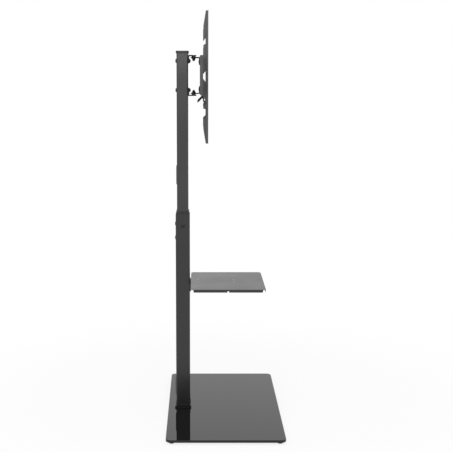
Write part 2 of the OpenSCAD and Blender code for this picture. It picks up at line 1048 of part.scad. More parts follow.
module head_nuts() {
    color(bracket_black)
        on_head()
            for (z = [-head_bolt_z, head_bolt_z])
                at_head_bolts(-web_front - head_nut_h, z)
                    hex_nut(head_nut_af, head_nut_h, head_bolt_r);
}

module mount_rail() {
    web_y = -rail_setback - rail_t / 2;
    lip_y = -rail_front + rail_t / 2;
    color(steel_black)
        on_head()
            difference() {
                along_x(-rail_l / 2, rail_l / 2)
                    bent_strip([
                        [lip_y, lip_top],
                        [lip_y, rail_top - rail_t / 2],
                        [web_y, rail_top - rail_t / 2],
                        [web_y, -rail_bottom + rail_t / 2],
                        [lip_y, -rail_bottom + rail_t / 2],
                        [lip_y, -lip_low]
                    ], rail_t);
                for (z = [-head_bolt_z, head_bolt_z])
                    at_head_bolts(-web_front - cut, z)
                        cylinder(r = head_bolt_r + seat_gap, h = rail_t + 2 * cut);
                for (side = [-1, 1], x = rail_slot_x)
                    translate([side * x, 0, (rail_top - rail_bottom) / 2])
                        along_y(-web_front - cut, -rail_setback + cut)
                            rotate(90)
                                oblong(rail_slot_h, rail_slot_w);
            }
}

// Side outline of a rail end cap, in Y and Z from the swivel axis
module end_cap_outline() {
    top = lip_top + cap_plate_lip;
    low = -lip_low - cap_plate_lip;
    polygon([
        [-rail_setback, top - cap_top_chamfer], [-rail_setback - cap_top_chamfer, top],
        [-rail_front, top], [-rail_front, low],
        [-rail_setback - cap_low_chamfer, low], [-rail_setback, low + cap_low_chamfer]
    ]);
}

module rail_end_cap() {
    block_h = rail_top + rail_bottom - 2 * rail_t - 2 * seat_gap;
    along_x(rail_l / 2, rail_l / 2 + cap_plate_t)
        end_cap_outline();
    translate([rail_l / 2 - cap_block_l, -rail_front, -rail_bottom + rail_t + seat_gap])
        cube([cap_block_l, rail_front - web_front - seat_gap, block_h]);
}

module rail_end_caps() {
    color(plastic_black)
        on_head() {
            rail_end_cap();
            mirror([1, 0, 0])
                rail_end_cap();
        }
}

// Arms: drawn with X across the arm, Y to the rear from the television's face, Z from the head's middle

module arm_plan() {
    front_x = arm_w / 2 - arm_t / 2;
    rear_x = front_x - arm_step;
    web_y = arm_t / 2;
    bent_strip([
        [-rear_x, hook_u + cut], [-rear_x, arm_step_at + arm_step_run], [-front_x, arm_step_at],
        [-front_x, web_y], [front_x, web_y],
        [front_x, arm_step_at], [rear_x, arm_step_at + arm_step_run], [rear_x, hook_u + cut]
    ], arm_t);
}

// A notch from the rear edge down to floor_u, narrower at its floor
module side_notch(floor_u, base, mouth) {
    polygon([
        [floor_u, base[0]], [floor_u, base[1]],
        [arm_depth, mouth[1]], [hook_u + cut, mouth[1]], [hook_u + cut, mouth[0]], [arm_depth, mouth[0]]
    ]);
}

module arm_outline() {
    inside_low = -rail_bottom + rail_t + slide_gap;
    inside_high = rail_top - rail_t - slide_gap;
    difference() {
        union() {
            polygon([
                [0, arm_low_end], [arm_tip, arm_low_end], [arm_depth, arm_low_end + arm_taper],
                [arm_depth, arm_high_end - arm_taper], [arm_tip, arm_high_end], [0, arm_high_end]
            ]);
            translate([0, -lip_low])
                square([neck_u, lip_low + hook_top]);
            translate([0, inside_low])
                square([hook_u, inside_high - inside_low]);
            polygon([
                [0, lip_top + slide_gap], [behind_lip_u, lip_top + slide_gap],
                [behind_lip_u, rail_top + slide_gap], [hook_u, rail_top + slide_gap],
                [hook_u, hook_top - hook_chamfer], [hook_u - hook_chamfer, hook_top], [0, hook_top]
            ]);
        }
        side_notch(notch_floor, top_notch, top_notch_mouth);
        side_notch(notch_floor, low_notch, low_notch_mouth);
        side_notch(latch_notch_floor, latch_notch, latch_notch_mouth);
        polygon([
            [notch_floor, window[0]], [window_rear_at, window_rear[0]],
            [window_rear_at, window_rear[1]], [notch_floor, window[1]]
        ]);
    }
}

module arm() {
    difference() {
        intersection() {
            translate([0, 0, arm_low_end])
                linear_extrude(arm_l)
                    arm_plan();
            along_x(-arm_w / 2 - cut, arm_w / 2 + cut)
                arm_outline();
            translate([0, 0, -arm_drop])
                along_y(-cut, hook_u + cut)
                    rounded(arm_w, arm_l, arm_tip_r);
        }
        for (spacing = tv_spacings, side = [-1, 1])
            translate([0, 0, -arm_drop + side * spacing / 2])
                along_y(-cut, arm_t + cut)
                    oblong(tv_slot_w, tv_slot_l);
    }
}

// Puts the locking screw's axis along Z, with +Z towards the screw's head
module on_lock_axis() {
    translate([0, lock_at[0], lock_at[1]])
        rotate([lock_angle, 0, 0])
            children();
}

// Crescent of the finger pull, in Y and Z
module latch_crescent() {
    far = 2 * latch_pull_r;
    translate(latch_pull_at)
        intersection() {
            difference() {
                circle(latch_pull_r);
                circle(latch_pull_r - latch_pull_t);
            }
            polygon([
                [0, 0], [far * cos(latch_pull_low), far * sin(latch_pull_low)], [far, 0],
                [far * cos(latch_pull_high), far * sin(latch_pull_high)]
            ]);
        }
}

module latch() {
    block_w = arm_w - 2 * arm_step - 2 * arm_t - 2 * seat_gap;
    difference() {
        union() {
            on_lock_axis()
                translate([-block_w / 2, -latch_block_down, latch_block_at])
                    cube([block_w, latch_block_down + latch_block_up, latch_block_l]);
            along_x(-latch_w / 2, latch_w / 2)
                latch_crescent();
        }
        on_lock_axis()
            translate([0, 0, -lock_l])
                cylinder(r = lock_r + run_gap, h = 2 * lock_l);
    }
}

module lock_screw() {
    on_lock_axis()
        translate([0, 0, lock_back])
            button_bolt(lock_r, lock_head_r, lock_head_h, lock_l);
}

module left_arm() {
    color(steel_black)
        on_arm(-1)
            arm();
}

module left_latch() {
    color(plastic_black)
        on_arm(-1)
            latch();
}

module left_lock_screw() {
    color(bracket_black)
        on_arm(-1)
            lock_screw();
}

module right_arm() {
    color(steel_black)
        on_arm(1)
            arm();
}

module right_latch() {
    color(plastic_black)
        on_arm(1)
            latch();
}

module right_lock_screw() {
    color(bracket_black)
        on_arm(1)
            lock_screw();
}

base_glass();
base_feet();
glass_bushes();
under_gasket();
under_plate();
base_bolts();
foot_gasket();
foot_plate();
lower_tube();
lower_grommet();
column_bushing();
side_screws();
clamp_bolts();
clamp_bar();
shelf_bracket();
shelf_bracket_bolts();
shelf_rivet_nuts();
shelf_tray();
shelf_studs();
shelf_nuts();
upper_tube();
glide_shoe();
upper_grommet();
top_cap();
upper_column_bracket();
lower_column_bracket();
mount_bolts();
mount_nuts();
pivot_bolts();
swivel_washers();
pivot_washers();
pivot_nuts();
upper_head_bracket();
lower_head_bracket();
head_bolts();
head_nuts();
mount_rail();
rail_end_caps();
left_arm();
left_latch();
left_lock_screw();
right_arm();
right_latch();
right_lock_screw();
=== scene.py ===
"""Finishes, moulded trim and hardware of a floor stand for a television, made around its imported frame."""

import json
import math

import bmesh
import bpy
from bpy.props import FloatProperty, FloatVectorProperty, PointerProperty
from bpy.types import Operator, Panel, PropertyGroup
from mathutils import Matrix, Vector


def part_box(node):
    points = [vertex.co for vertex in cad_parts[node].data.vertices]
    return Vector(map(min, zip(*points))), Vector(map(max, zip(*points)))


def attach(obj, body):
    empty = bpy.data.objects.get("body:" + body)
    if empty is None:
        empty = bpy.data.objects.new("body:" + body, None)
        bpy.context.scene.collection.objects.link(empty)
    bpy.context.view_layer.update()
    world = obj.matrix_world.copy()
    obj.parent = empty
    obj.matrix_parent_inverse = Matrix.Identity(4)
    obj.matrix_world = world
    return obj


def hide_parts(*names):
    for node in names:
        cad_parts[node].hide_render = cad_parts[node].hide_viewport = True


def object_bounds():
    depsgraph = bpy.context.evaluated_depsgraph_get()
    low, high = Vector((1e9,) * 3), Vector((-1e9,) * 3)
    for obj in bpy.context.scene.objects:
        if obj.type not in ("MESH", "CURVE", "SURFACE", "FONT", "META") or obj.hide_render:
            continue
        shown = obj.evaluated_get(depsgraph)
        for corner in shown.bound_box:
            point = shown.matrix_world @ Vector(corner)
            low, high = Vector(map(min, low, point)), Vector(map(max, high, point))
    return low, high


bl_info = {
    "name": "TV Stand with Mount",
    "version": (1, 0, 0),
    "blender": (4, 5, 0),
    "location": "3D View > Sidebar > TV Stand",
    "description": "Finishes, moulded trim and hardware of a television floor stand",
    "category": "Object",
}

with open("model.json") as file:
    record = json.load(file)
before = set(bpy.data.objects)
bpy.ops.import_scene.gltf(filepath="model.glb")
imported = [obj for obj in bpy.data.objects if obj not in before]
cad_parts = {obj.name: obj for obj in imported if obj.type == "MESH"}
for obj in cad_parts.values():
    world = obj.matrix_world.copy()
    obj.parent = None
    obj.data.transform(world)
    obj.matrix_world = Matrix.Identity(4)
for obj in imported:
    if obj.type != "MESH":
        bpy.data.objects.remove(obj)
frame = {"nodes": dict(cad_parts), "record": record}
CAD_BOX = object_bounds()
UP = Vector((0, 0, 1))
REAR = Vector((0, 1, 0))
RIGHT = Vector((1, 0, 0))


# Settings

def length(name, default, description):
    """A size in metres, shown in the scene's own units."""
    return FloatProperty(name=name, default=default, min=0.0, precision=5, unit="LENGTH",
                         subtype="DISTANCE", description=description)


def colour(name, default, description):
    """A finish colour."""
    return FloatVectorProperty(name=name, default=default, size=3, min=0.0, max=1.0,
                               subtype="COLOR", description=description)


def share(name, default, description, high=1.0):
    """A plain number, such as a roughness."""
    return FloatProperty(name=name, default=default, min=0.0, max=high, precision=3,
                         description=description)


def spot(name, default, description):
    """A point in metres."""
    return FloatVectorProperty(name=name, default=default, size=3, unit="LENGTH", subtype="XYZ",
                               description=description)


def watts(name, default, description):
    """The power of a lamp."""
    return FloatProperty(name=name, default=default, min=0.0, unit="POWER", description=description)


class FinishSettings(PropertyGroup):
    """Colours and surface grain of the stand's finishes."""

    column_colour: colour("Column coat", (0.0035, 0.0035, 0.0035), "Powder coat of the lower tube")
    upper_colour: colour("Upper column coat", (0.026, 0.026, 0.026), "Powder coat of the upper tube")
    mount_colour: colour("Mount coat", (0.046, 0.046, 0.047), "Powder coat of the rail and arms")
    shelf_colour: colour("Shelf coat", (0.022, 0.022, 0.0225), "Powder coat of the shelf")
    bracket_colour: colour("Bracket coat", (0.004, 0.004, 0.0043), "Matt coat of the brackets")
    glass_colour: colour("Glass backing", (0.0012, 0.0012, 0.0014), "Paint behind the base glass")
    edge_colour: colour("Glass edge", (0.0015, 0.0018, 0.0017), "Ground edge of the base glass")
    plastic_colour: colour("Plastic", (0.009, 0.009, 0.0092), "Top cap, grommets, guides and latches")
    end_cap_colour: colour("Rail end caps", (0.045, 0.045, 0.046), "Moulded caps on the rail's ends")
    rubber_colour: colour("Rubber", (0.014, 0.014, 0.014), "Feet and gaskets")
    fastener_colour: colour("Black fasteners", (0.016, 0.016, 0.0165), "Black plated bolts and nuts")
    zinc_colour: colour("Zinc", (0.56, 0.57, 0.60), "Bare zinc plated steel")
    nylon_colour: colour("Nylon", (0.020, 0.020, 0.020), "Swivel washers")
    coat_roughness: share("Coat roughness", 0.28, "Roughness of the satin powder coat")
    coat_grain: length("Coat grain", 0.0012, "Width of a bump in the powder coat's orange peel")
    fleck_size: length("Fleck size", 0.0004, "Width of the finest speckle in coats and plastic")
    cloud_size: length("Cloud size", 0.14, "Width of the broad changes of tone in a coat")
    grain_height: length("Grain height", 0.00002, "Height of the bumps in a powder coat")
    smudge_size: length("Smudge size", 0.05, "Width of the wiped marks on the glass")
    shelf_dust: FloatVectorProperty(name="Shelf dust", default=(-0.02, 0.12), size=2, unit="LENGTH",
                                    description="Depths between which the dust on the shelf thickens")
    scuff_size: length("Scuff size", 0.009, "Width of a scuff in a coat")
    scuff_rarity: share("Scuff rarity", 0.70, "How rare the scuffs are")
    brush_size: length("Brush line", 0.0003, "Width of a brushed line in bare steel")


class TrimSettings(PropertyGroup):
    """Sizes of the moulded trim, the feet and the weld."""

    edge_round: length("Edge round", 0.0009, "Radius on the edges of moulded caps")
    sheet_round: length("Sheet round", 0.00025, "Radius on the edges of cut sheet and tube")
    glass_round: length("Glass round", 0.00015, "Radius on the arrises of the glass")
    cap_face_height: length("Cap height", 0.0084, "Height of the top cap above the tube")
    cap_plug_inset: length("Cap plug inset", 0.0044, "From the cap's edge to its plug")
    cap_corner: length("Cap corner", 0.0062, "Corner radius of the top cap")
    lip_height: length("Lip height", 0.011, "Height of the guide's lip above the lower tube")
    lip_foot_height: length("Lip foot", 0.0015, "Height of the wide foot of that lip")
    lip_step: length("Lip step", 0.0018, "How far the lip steps in above its foot")
    guide_wall: length("Guide wall", 0.0043, "Thickness of the guide at its lip's foot")
    guide_sleeve_inset: length("Sleeve inset", 0.00175, "From the lip's foot in to the sleeve")
    guide_corner: length("Guide corner", 0.004, "Corner radius of the guide")
    port_rim: length("Port rim", 0.0075, "From a grommet's edge to its opening")
    port_neck: length("Port neck", 0.00415, "From a grommet's edge in to its neck")
    port_proud: length("Port proud", 0.0025, "How far a grommet stands off the tube")
    port_barb: length("Port barb", 0.0015, "Thickness of a grommet's lip inside the tube")
    port_barb_inset: length("Port barb inset", 0.002, "From a grommet's edge in to that lip")
    weld_leg: length("Weld leg", 0.0022, "Leg of the weld at the foot of the column")
    weld_ripple: length("Weld ripple", 0.0021, "Length of one ripple of the weld")
    foot_groove: length("Foot groove", 0.0007, "Depth of the groove round a foot")


class HardwareSettings(PropertyGroup):
    """Sizes of the bolts, screws and nuts."""

    mount_bolt: length("Mount bolt", 0.004, "Radius of the bolts through the column")
    mount_head: length("Mount bolt head", 0.0039, "Height of their heads")
    clamp_bolt: length("Clamp bolt", 0.004, "Radius of the height clamp bolts")
    clamp_head: length("Clamp bolt head", 0.0029, "Height of their heads")
    side_screw: length("Side screw", 0.003, "Radius of the guide's side screws")
    side_head: length("Side screw head", 0.0028, "Height of their heads")
    bracket_bolt: length("Shelf bolt", 0.003, "Radius of the shelf bracket's bolts")
    bracket_head: length("Shelf bolt head", 0.0026, "Height of their heads")
    head_bolt: length("Rail bolt", 0.003, "Radius of the bolts through the rail")
    head_head: length("Rail bolt head", 0.0012, "Height of their heads")
    base_bolt: length("Base bolt", 0.004, "Radius of the bolts through the glass")
    base_head: length("Base bolt head", 0.0026, "Height of their heads")
    pivot_bolt: length("Pivot bolt", 0.003, "Radius of the swivel's pivot bolts")
    pivot_cone: length("Pivot bolt cone", 0.003, "Height of their countersunk heads")
    lock_screw: length("Lock screw", 0.00275, "Radius of the arms' locking screws")
    lock_head: length("Lock screw head", 0.0025, "Height of their heads")
    lock_point: length("Lock screw point", 0.0035, "Length of their bare points")
    stud: length("Shelf stud", 0.0025, "Radius of the shelf's studs")
    coarse_pitch: length("Coarse pitch", 0.00125, "Thread pitch of the larger bolts")
    fine_pitch: length("Fine pitch", 0.001, "Thread pitch of the smaller bolts")
    thread_depth: length("Thread depth", 0.0005, "Depth of a thread")
    thread_seen: length("Thread length", 0.009, "Length of thread cut at a bolt's end")
    lock_collar: length("Lock nut collar", 0.0022, "Height of the plastic collar of a lock nut")


class StageSettings(PropertyGroup):
    """Camera, lamps and floor."""

    camera_distance: length("Camera distance", 3.2005, "From the stand's middle out to the camera")
    camera_rear: length("Camera offset", 0.0867, "How far the camera stands behind the middle")
    camera_height: length("Camera height", 1.1797, "Height of the camera above the floor")
    camera_tilt: FloatProperty(name="Camera tilt", default=math.radians(8.93), subtype="ANGLE",
                               description="How far the camera looks down")
    lens: FloatProperty(name="Lens", default=72.37, min=1.0, description="Focal length in millimetres")
    sensor: FloatProperty(name="Sensor", default=36.0, min=1.0, description="Sensor width in millimetres")
    shift: FloatProperty(name="Shift", default=0.058, description="Sideways shift of the lens")
    floor_size: length("Floor size", 24.0, "Width of the floor")
    floor_paper: share("Floor paper", 0.88, "Lightness of the floor's paper")
    floor_shadow: share("Floor shadow", 0.18, "How much of the object's shadow the floor shows")
    shadow_near: length("Shadow near", 0.5, "Distance at which that shadow starts to fade")
    shadow_far: length("Shadow far", 1.4, "Distance at which it is gone")
    room_level: share("Room level", 0.75, "Brightness of the room's light on the object", 4.0)
    key_place: spot("Key lamp place", (-2.0, 0.1, 1.85), "Middle of the key lamp")
    key_size: length("Key lamp size", 1.0, "Width of the key lamp")
    key_power: watts("Key lamp power", 12.0, "Power of the key lamp")
    top_place: spot("Top lamp place", (-0.4, 0.0, 3.2), "Middle of the top lamp")
    top_size: length("Top lamp size", 1.8, "Width of the top lamp")
    top_power: watts("Top lamp power", 20.0, "Power of the top lamp")


# Node trees

class Nodes:
    """A node tree, with short ways to add to it."""

    def __init__(self, tree):
        self.tree = tree

    def add(self, kind, inputs=None, **settings):
        """Adds a node, with its settings, and its inputs as values or as sockets to join."""
        node = self.tree.nodes.new(kind)
        for key, value in settings.items():
            setattr(node, key, value)
        for key, value in (inputs or {}).items():
            if isinstance(value, bpy.types.NodeSocket):
                self.tree.links.new(value, node.inputs[key])
            else:
                node.inputs[key].default_value = value
        return node

    def spread(self, value, low, high, start=0.0, end=1.0):
        """Maps value from start..end to low..high."""
        return self.add("ShaderNodeMapRange", {
            "Value": value, "From Min": start, "From Max": end, "To Min": low, "To Max": high,
        }).outputs["Result"]

    def math(self, operation, a, b=0.0):
        """One sum on two values or sockets."""
        return self.add("ShaderNodeMath", {0: a, 1: b}, operation=operation).outputs["Value"]

    def seen(self):
        """1 for rays from the camera, from gloss and through clear pieces, else 0."""
        path = self.add("ShaderNodeLightPath").outputs
        glossy = self.math("MAXIMUM", path["Is Camera Ray"], path["Is Glossy Ray"])
        return self.math("MAXIMUM", glossy, path["Is Transmission Ray"])


class Finish(Nodes):
    """A material made of nodes."""

    def __init__(self, name):
        self.material = bpy.data.materials.new(name)
        self.material.use_nodes = True
        super().__init__(self.material.node_tree)
        self.tree.nodes.clear()
        self.output = self.add("ShaderNodeOutputMaterial")
        self.coords = self.add("ShaderNodeTexCoord").outputs["Object"]

    def show(self, shader):
        """Joins a shader to the material's surface."""
        self.tree.links.new(shader, self.output.inputs["Surface"])
        return self.material

    def part_of(self, vector, axis):
        """One of a vector's three parts."""
        return self.add("ShaderNodeSeparateXYZ", {"Vector": vector}).outputs[axis]

    def facing_up(self):
        """1 where a face looks up, -1 where it looks down."""
        return self.part_of(self.add("ShaderNodeTexCoord").outputs["Normal"], "Z")

    def noise(self, size, detail=2.0, stretch=(1.0, 1.0, 1.0), roughness=0.5):
        """Soft noise whose cells are size wide, in metres."""
        mapped = self.add("ShaderNodeMapping", {"Vector": self.coords, "Scale": stretch})
        return self.add("ShaderNodeTexNoise", {
            "Vector": mapped.outputs["Vector"], "Scale": 1.0 / size, "Detail": detail,
            "Roughness": roughness,
        }).outputs["Fac"]

    def ramp(self, value, *stops):
        """Colours from (position, colour) stops."""
        node = self.add("ShaderNodeValToRGB", {"Fac": value})
        elements = node.color_ramp.elements
        while len(elements) < len(stops):
            elements.new(0.5)
        for element, (position, tint) in zip(elements, stops):
            element.position = position
            element.color = (*tint, 1.0)
        return node.outputs["Color"]

    def blend(self, factor, first, second):
        """Mixes two colours."""
        node = self.add("ShaderNodeMix", data_type="RGBA", clamp_factor=True)
        for index, value in ((0, factor), (6, first), (7, second)):
            if isinstance(value, bpy.types.NodeSocket):
                self.tree.links.new(value, node.inputs[index])
            else:
                node.inputs[index].default_value = value if index == 0 else (*value, 1.0)
        return node.outputs[2]

    def bump(self, height, distance, strength=1.0, normal=None):
        """Turns a height into a surface normal; distance is in metres."""
        inputs = {"Height": height, "Distance": distance, "Strength": strength}
        if normal is not None:
            inputs["Normal"] = normal
        return self.add("ShaderNodeBump", inputs).outputs["Normal"]

    def surface(self, **inputs):
        """The shader itself."""
        named = {key.replace("_", " "): value for key, value in inputs.items()}
        return self.show(self.add("ShaderNodeBsdfPrincipled", named).outputs["BSDF"])


DUST = (0.22, 0.21, 0.20)
GLASS_DUST = (0.25, 0.25, 0.24)
SCUFF_LIGHTER = 0.02
SCUFF_STRETCH = 0.16
SCUFF_FADE = 0.06


def scaled(tint, factor):
    """A colour made darker or lighter."""
    return tuple(min(1.0, channel * factor) for channel in tint)


def settled_dust(finish, tint, amount, patch=0.012, rearward=None):
    """Adds faint dust where a face looks up, in patches, thicker towards the rear if asked for."""
    lying = finish.spread(finish.facing_up(), 0.0, amount, 0.7, 1.0)
    patches = finish.spread(finish.noise(patch, 4.0), 0.2, 1.0, 0.35, 0.7)
    if rearward:
        depth = finish.part_of(finish.coords, "Y")
        patches = finish.math("MULTIPLY", patches, finish.spread(depth, 0.1, 1.0, *rearward))
    return finish.blend(finish.math("MULTIPLY", lying, patches), tint, DUST)


def rubbed(finish, width, threshold):
    """Sparse, short scuffs, as a mask."""
    upright = finish.noise(width, 6.0, (1.0, 1.0, SCUFF_STRETCH), 0.65)
    level = finish.noise(width, 6.0, (SCUFF_STRETCH, 1.0, 1.0), 0.65)
    both = finish.math("MAXIMUM", upright, level)
    return finish.spread(both, 0.0, 1.0, threshold, threshold + SCUFF_FADE)


def powder_coat(settings, name, tint, roughness=None, gloss=1.52, **dust):
    """Satin powder coat: orange peel, fine speckle, slow changes of tone, scuffs and dust."""
    roughness = settings.coat_roughness if roughness is None else roughness
    finish = Finish(name)
    peel = finish.noise(settings.coat_grain, 2.0)
    fleck = finish.noise(settings.fleck_size, 1.0)
    cloud = finish.noise(settings.cloud_size, 3.0)
    tone = finish.math("ADD", finish.math("MULTIPLY", cloud, 0.75), finish.math("MULTIPLY", fleck, 0.25))
    body = finish.ramp(tone, (0.30, scaled(tint, 0.86)), (0.50, tint), (0.72, scaled(tint, 1.16)))
    scuff = rubbed(finish, settings.scuff_size, settings.scuff_rarity)
    worn = finish.blend(scuff, body, tuple(channel + SCUFF_LIGHTER for channel in tint))
    rough = finish.math("ADD", finish.spread(cloud, -0.04, 0.04, 0.3, 0.7),
                        finish.spread(fleck, roughness - 0.03, roughness + 0.03, 0.3, 0.7))
    rough = finish.math("ADD", rough, finish.math("MULTIPLY", scuff, 0.12))
    return finish.surface(
        Base_Color=settled_dust(finish, worn, **{"amount": 0.05, **dust}), Roughness=rough, IOR=gloss,
        Normal=finish.bump(peel, settings.grain_height, 0.6))


def moulded_plastic(settings, name, tint):
    """Moulded plastic with a fine spark-eroded texture."""
    finish = Finish(name)
    spark = finish.noise(settings.fleck_size, 3.0, roughness=0.7)
    cloud = finish.noise(settings.cloud_size / 4, 2.0)
    body = finish.ramp(cloud, (0.30, scaled(tint, 0.88)), (0.70, scaled(tint, 1.15)))
    rough = finish.spread(spark, 0.38, 0.56, 0.25, 0.75)
    return finish.surface(Base_Color=settled_dust(finish, body, 0.04), Roughness=rough, IOR=1.49,
                          Normal=finish.bump(spark, settings.grain_height, 0.8))


def rubber(settings, name, tint):
    """Matt rubber with a dusty bloom."""
    finish = Finish(name)
    bloom = finish.noise(settings.cloud_size / 12, 4.0)
    pores = finish.noise(settings.fleck_size * 1.5, 2.0)
    body = finish.ramp(bloom, (0.35, tint), (0.75, scaled(tint, 1.9)))
    return finish.surface(Base_Color=body, Roughness=finish.spread(bloom, 0.62, 0.86, 0.3, 0.7), IOR=1.45,
                          Normal=finish.bump(pores, settings.grain_height * 2, 0.7))


def painted_glass(settings, name):
    """Polished tempered glass, painted behind, with wiped smudges and a ground edge."""
    finish = Finish(name)
    edge = finish.spread(finish.math("ABSOLUTE", finish.facing_up()), 1.0, 0.0, 0.15, 0.85)
    smudge = finish.noise(settings.smudge_size, 5.0, (1.0, 2.4, 1.0), 0.6)
    dust = finish.noise(settings.fleck_size * 3, 1.0)
    wheel = finish.noise(settings.coat_grain, 2.0, (1.0, 1.0, 6.0))
    specks = finish.spread(dust, 0.0, 0.05, 0.70, 0.80)
    face = finish.blend(specks, settings.glass_colour, GLASS_DUST)
    body = finish.blend(edge, face, settings.edge_colour)
    polish = finish.spread(smudge, 0.015, 0.060, 0.42, 0.75)
    rough = finish.math("ADD", polish, finish.math("MULTIPLY", edge, finish.spread(wheel, 0.10, 0.24)))
    ripple = finish.bump(smudge, 0.000002, 0.3)
    return finish.surface(Base_Color=body, Roughness=rough, IOR=1.45,
                          Normal=finish.bump(finish.math("MULTIPLY", wheel, edge), 0.00001, 0.5, ripple))


def plated_steel(settings, name, tint, metallic, low, high):
    """Plated steel: brushed lines along the piece, and stains."""
    finish = Finish(name)
    lines = finish.noise(settings.brush_size, 3.0, (0.12, 1.0, 1.0))
    stain = finish.noise(settings.cloud_size / 20, 4.0)
    tone = finish.math("ADD", finish.math("MULTIPLY", stain, 0.7), finish.math("MULTIPLY", lines, 0.3))
    body = finish.ramp(tone, (0.30, scaled(tint, 0.78)), (0.52, tint), (0.74, scaled(tint, 1.22)))
    return finish.surface(Base_Color=body, Metallic=metallic, IOR=1.5,
                          Roughness=finish.spread(lines, low, high, 0.25, 0.75),
                          Normal=finish.bump(lines, settings.grain_height / 2, 0.5))


def nylon(settings, name, tint):
    """Dark waxy nylon."""
    finish = Finish(name)
    cloud = finish.noise(settings.cloud_size / 30, 3.0)
    fine = finish.noise(settings.fleck_size, 2.0)
    body = finish.ramp(cloud, (0.3, scaled(tint, 0.9)), (0.7, tint))
    return finish.surface(Base_Color=body, Roughness=finish.spread(fine, 0.32, 0.48, 0.3, 0.7), IOR=1.53,
                          Normal=finish.bump(fine, settings.grain_height / 2, 0.4))


def finishes(settings):
    """Every finish by its plain name, made once."""
    if "Column coat" not in bpy.data.materials:
        powder_coat(settings, "Column coat", settings.column_colour, gloss=1.60)
        powder_coat(settings, "Upper column coat", settings.upper_colour)
        powder_coat(settings, "Mount coat", settings.mount_colour, 0.42)
        powder_coat(settings, "Shelf coat", settings.shelf_colour, 0.30, gloss=1.47,
                    amount=0.42, patch=0.09, rearward=settings.shelf_dust)
        powder_coat(settings, "Foot coat", settings.bracket_colour, 0.16, amount=0.0)
        powder_coat(settings, "Weld coat", settings.bracket_colour, 0.64, gloss=1.36, amount=0.0)
        powder_coat(settings, "Bracket coat", settings.bracket_colour, 0.58, gloss=1.42)
        moulded_plastic(settings, "Moulded plastic", settings.plastic_colour)
        moulded_plastic(settings, "Rail cap plastic", settings.end_cap_colour)
        rubber(settings, "Rubber", settings.rubber_colour)
        painted_glass(settings, "Painted glass")
        plated_steel(settings, "Black plating", settings.fastener_colour, 0.35, 0.26, 0.44)
        plated_steel(settings, "Zinc plating", settings.zinc_colour, 1.0, 0.24, 0.42)
        nylon(settings, "Nylon", settings.nylon_colour)
    return bpy.data.materials


# Places read from the frame

SAME_POINT = 1e-6


def solids_of(node):
    """(lowest, highest) corner of each separate solid in a node, in a steady order."""
    bm = bmesh.new()
    bm.from_mesh(frame["nodes"][node].data)
    bmesh.ops.remove_doubles(bm, verts=bm.verts, dist=SAME_POINT)
    unseen, found = set(bm.verts), []
    while unseen:
        reached, todo = [], [unseen.pop()]
        while todo:
            vertex = todo.pop()
            reached.append(vertex.co)
            for edge in vertex.link_edges:
                other = edge.other_vert(vertex)
                if other in unseen:
                    unseen.discard(other)
                    todo.append(other)
        low = Vector([min(point[i] for point in reached) for i in range(3)])
        high = Vector([max(point[i] for point in reached) for i in range(3)])
        found.append((low, high))
    bm.free()
    return sorted(found, key=lambda box: tuple(round(value, 5) for value in box[0]))


def along(origin, axis):
    """A place whose Z runs along axis, with its X across the stand where it can be."""
    z = axis.normalized()
    x = RIGHT if abs(z.dot(RIGHT)) < 0.9 else -UP
    x = (x - z * x.dot(z)).normalized()
    turn = Matrix((x, z.cross(x), z)).transposed().to_4x4()
    return Matrix.Translation(origin) @ turn


def face_centre(box, axis):
    """Middle of the side of a box that axis points out of."""
    low, high = box
    middle, half = (low + high) / 2, (high - low) / 2
    return middle + Vector([axis[i] * half[i] for i in range(3)])


def extent(box, axis):
    """Length of a box along an upright or level axis."""
    size = box[1] - box[0]
    return sum(abs(axis[i]) * size[i] for i in range(3))


# Rings of points, and skins over them

ROUND_STEPS = 48
CORNER_STEPS = 10
DOME_STEPS = 8
ROUND_END = 0.998


def circle(radius, height):
    """A round ring."""
    turns = [math.tau * i / ROUND_STEPS for i in range(ROUND_STEPS)]
    return [(radius * math.cos(t), radius * math.sin(t), height) for t in turns]


def hexagon(flats, height, limit=None):
    """A six-sided ring, cut by a circle of radius limit where it is smaller."""
    ring = []
    for i in range(ROUND_STEPS):
        turn = math.tau * i / ROUND_STEPS
        side = (turn + math.pi / 6) % (math.pi / 3) - math.pi / 6
        reach = flats / 2 / math.cos(math.pi / 6 - abs(side))
        reach = reach if limit is None else min(reach, limit)
        ring.append((reach * math.cos(turn), reach * math.sin(turn), height))
    return ring


def rounded(width, depth, corner, height):
    """A rounded rectangle."""
    ring = []
    for quarter, (sx, sy) in enumerate(((1, 1), (-1, 1), (-1, -1), (1, -1))):
        for i in range(CORNER_STEPS + 1):
            turn = math.pi / 2 * (quarter + i / CORNER_STEPS)
            ring.append((sx * (width / 2 - corner) + corner * math.cos(turn),
                         sy * (depth / 2 - corner) + corner * math.sin(turn), height))
    return ring


def oblong(width, tall, height):
    """A ring with two straight sides and two round ends."""
    return rounded(width, tall, width / 2 * ROUND_END, height)


def quarter_round(radius, steps=4):
    """(inset, rise) pairs of a rounded edge, from its side to its face."""
    turns = [math.pi / 2 * i / steps for i in range(steps + 1)]
    return [(radius * (1 - math.cos(t)), radius * math.sin(t)) for t in turns]


def skin(bm, rings, place, closed=False, shade=0):
    """Joins rings of equal counts into a surface, and caps its ends unless it closes on itself."""
    loops = [[bm.verts.new(place @ Vector(point)) for point in ring] for ring in rings]
    followers = loops[1:] + loops[:1] if closed else loops[1:]
    made = []
    for lower, upper in zip(loops, followers):
        for i in range(len(lower)):
            j = (i + 1) % len(lower)
            made.append(bm.faces.new((lower[i], lower[j], upper[j], upper[i])))
    if not closed:
        made.append(bm.faces.new(list(reversed(loops[0]))))
        made.append(bm.faces.new(loops[-1]))
    for face in made:
        face.smooth = True
        face.material_index = shade
    return made


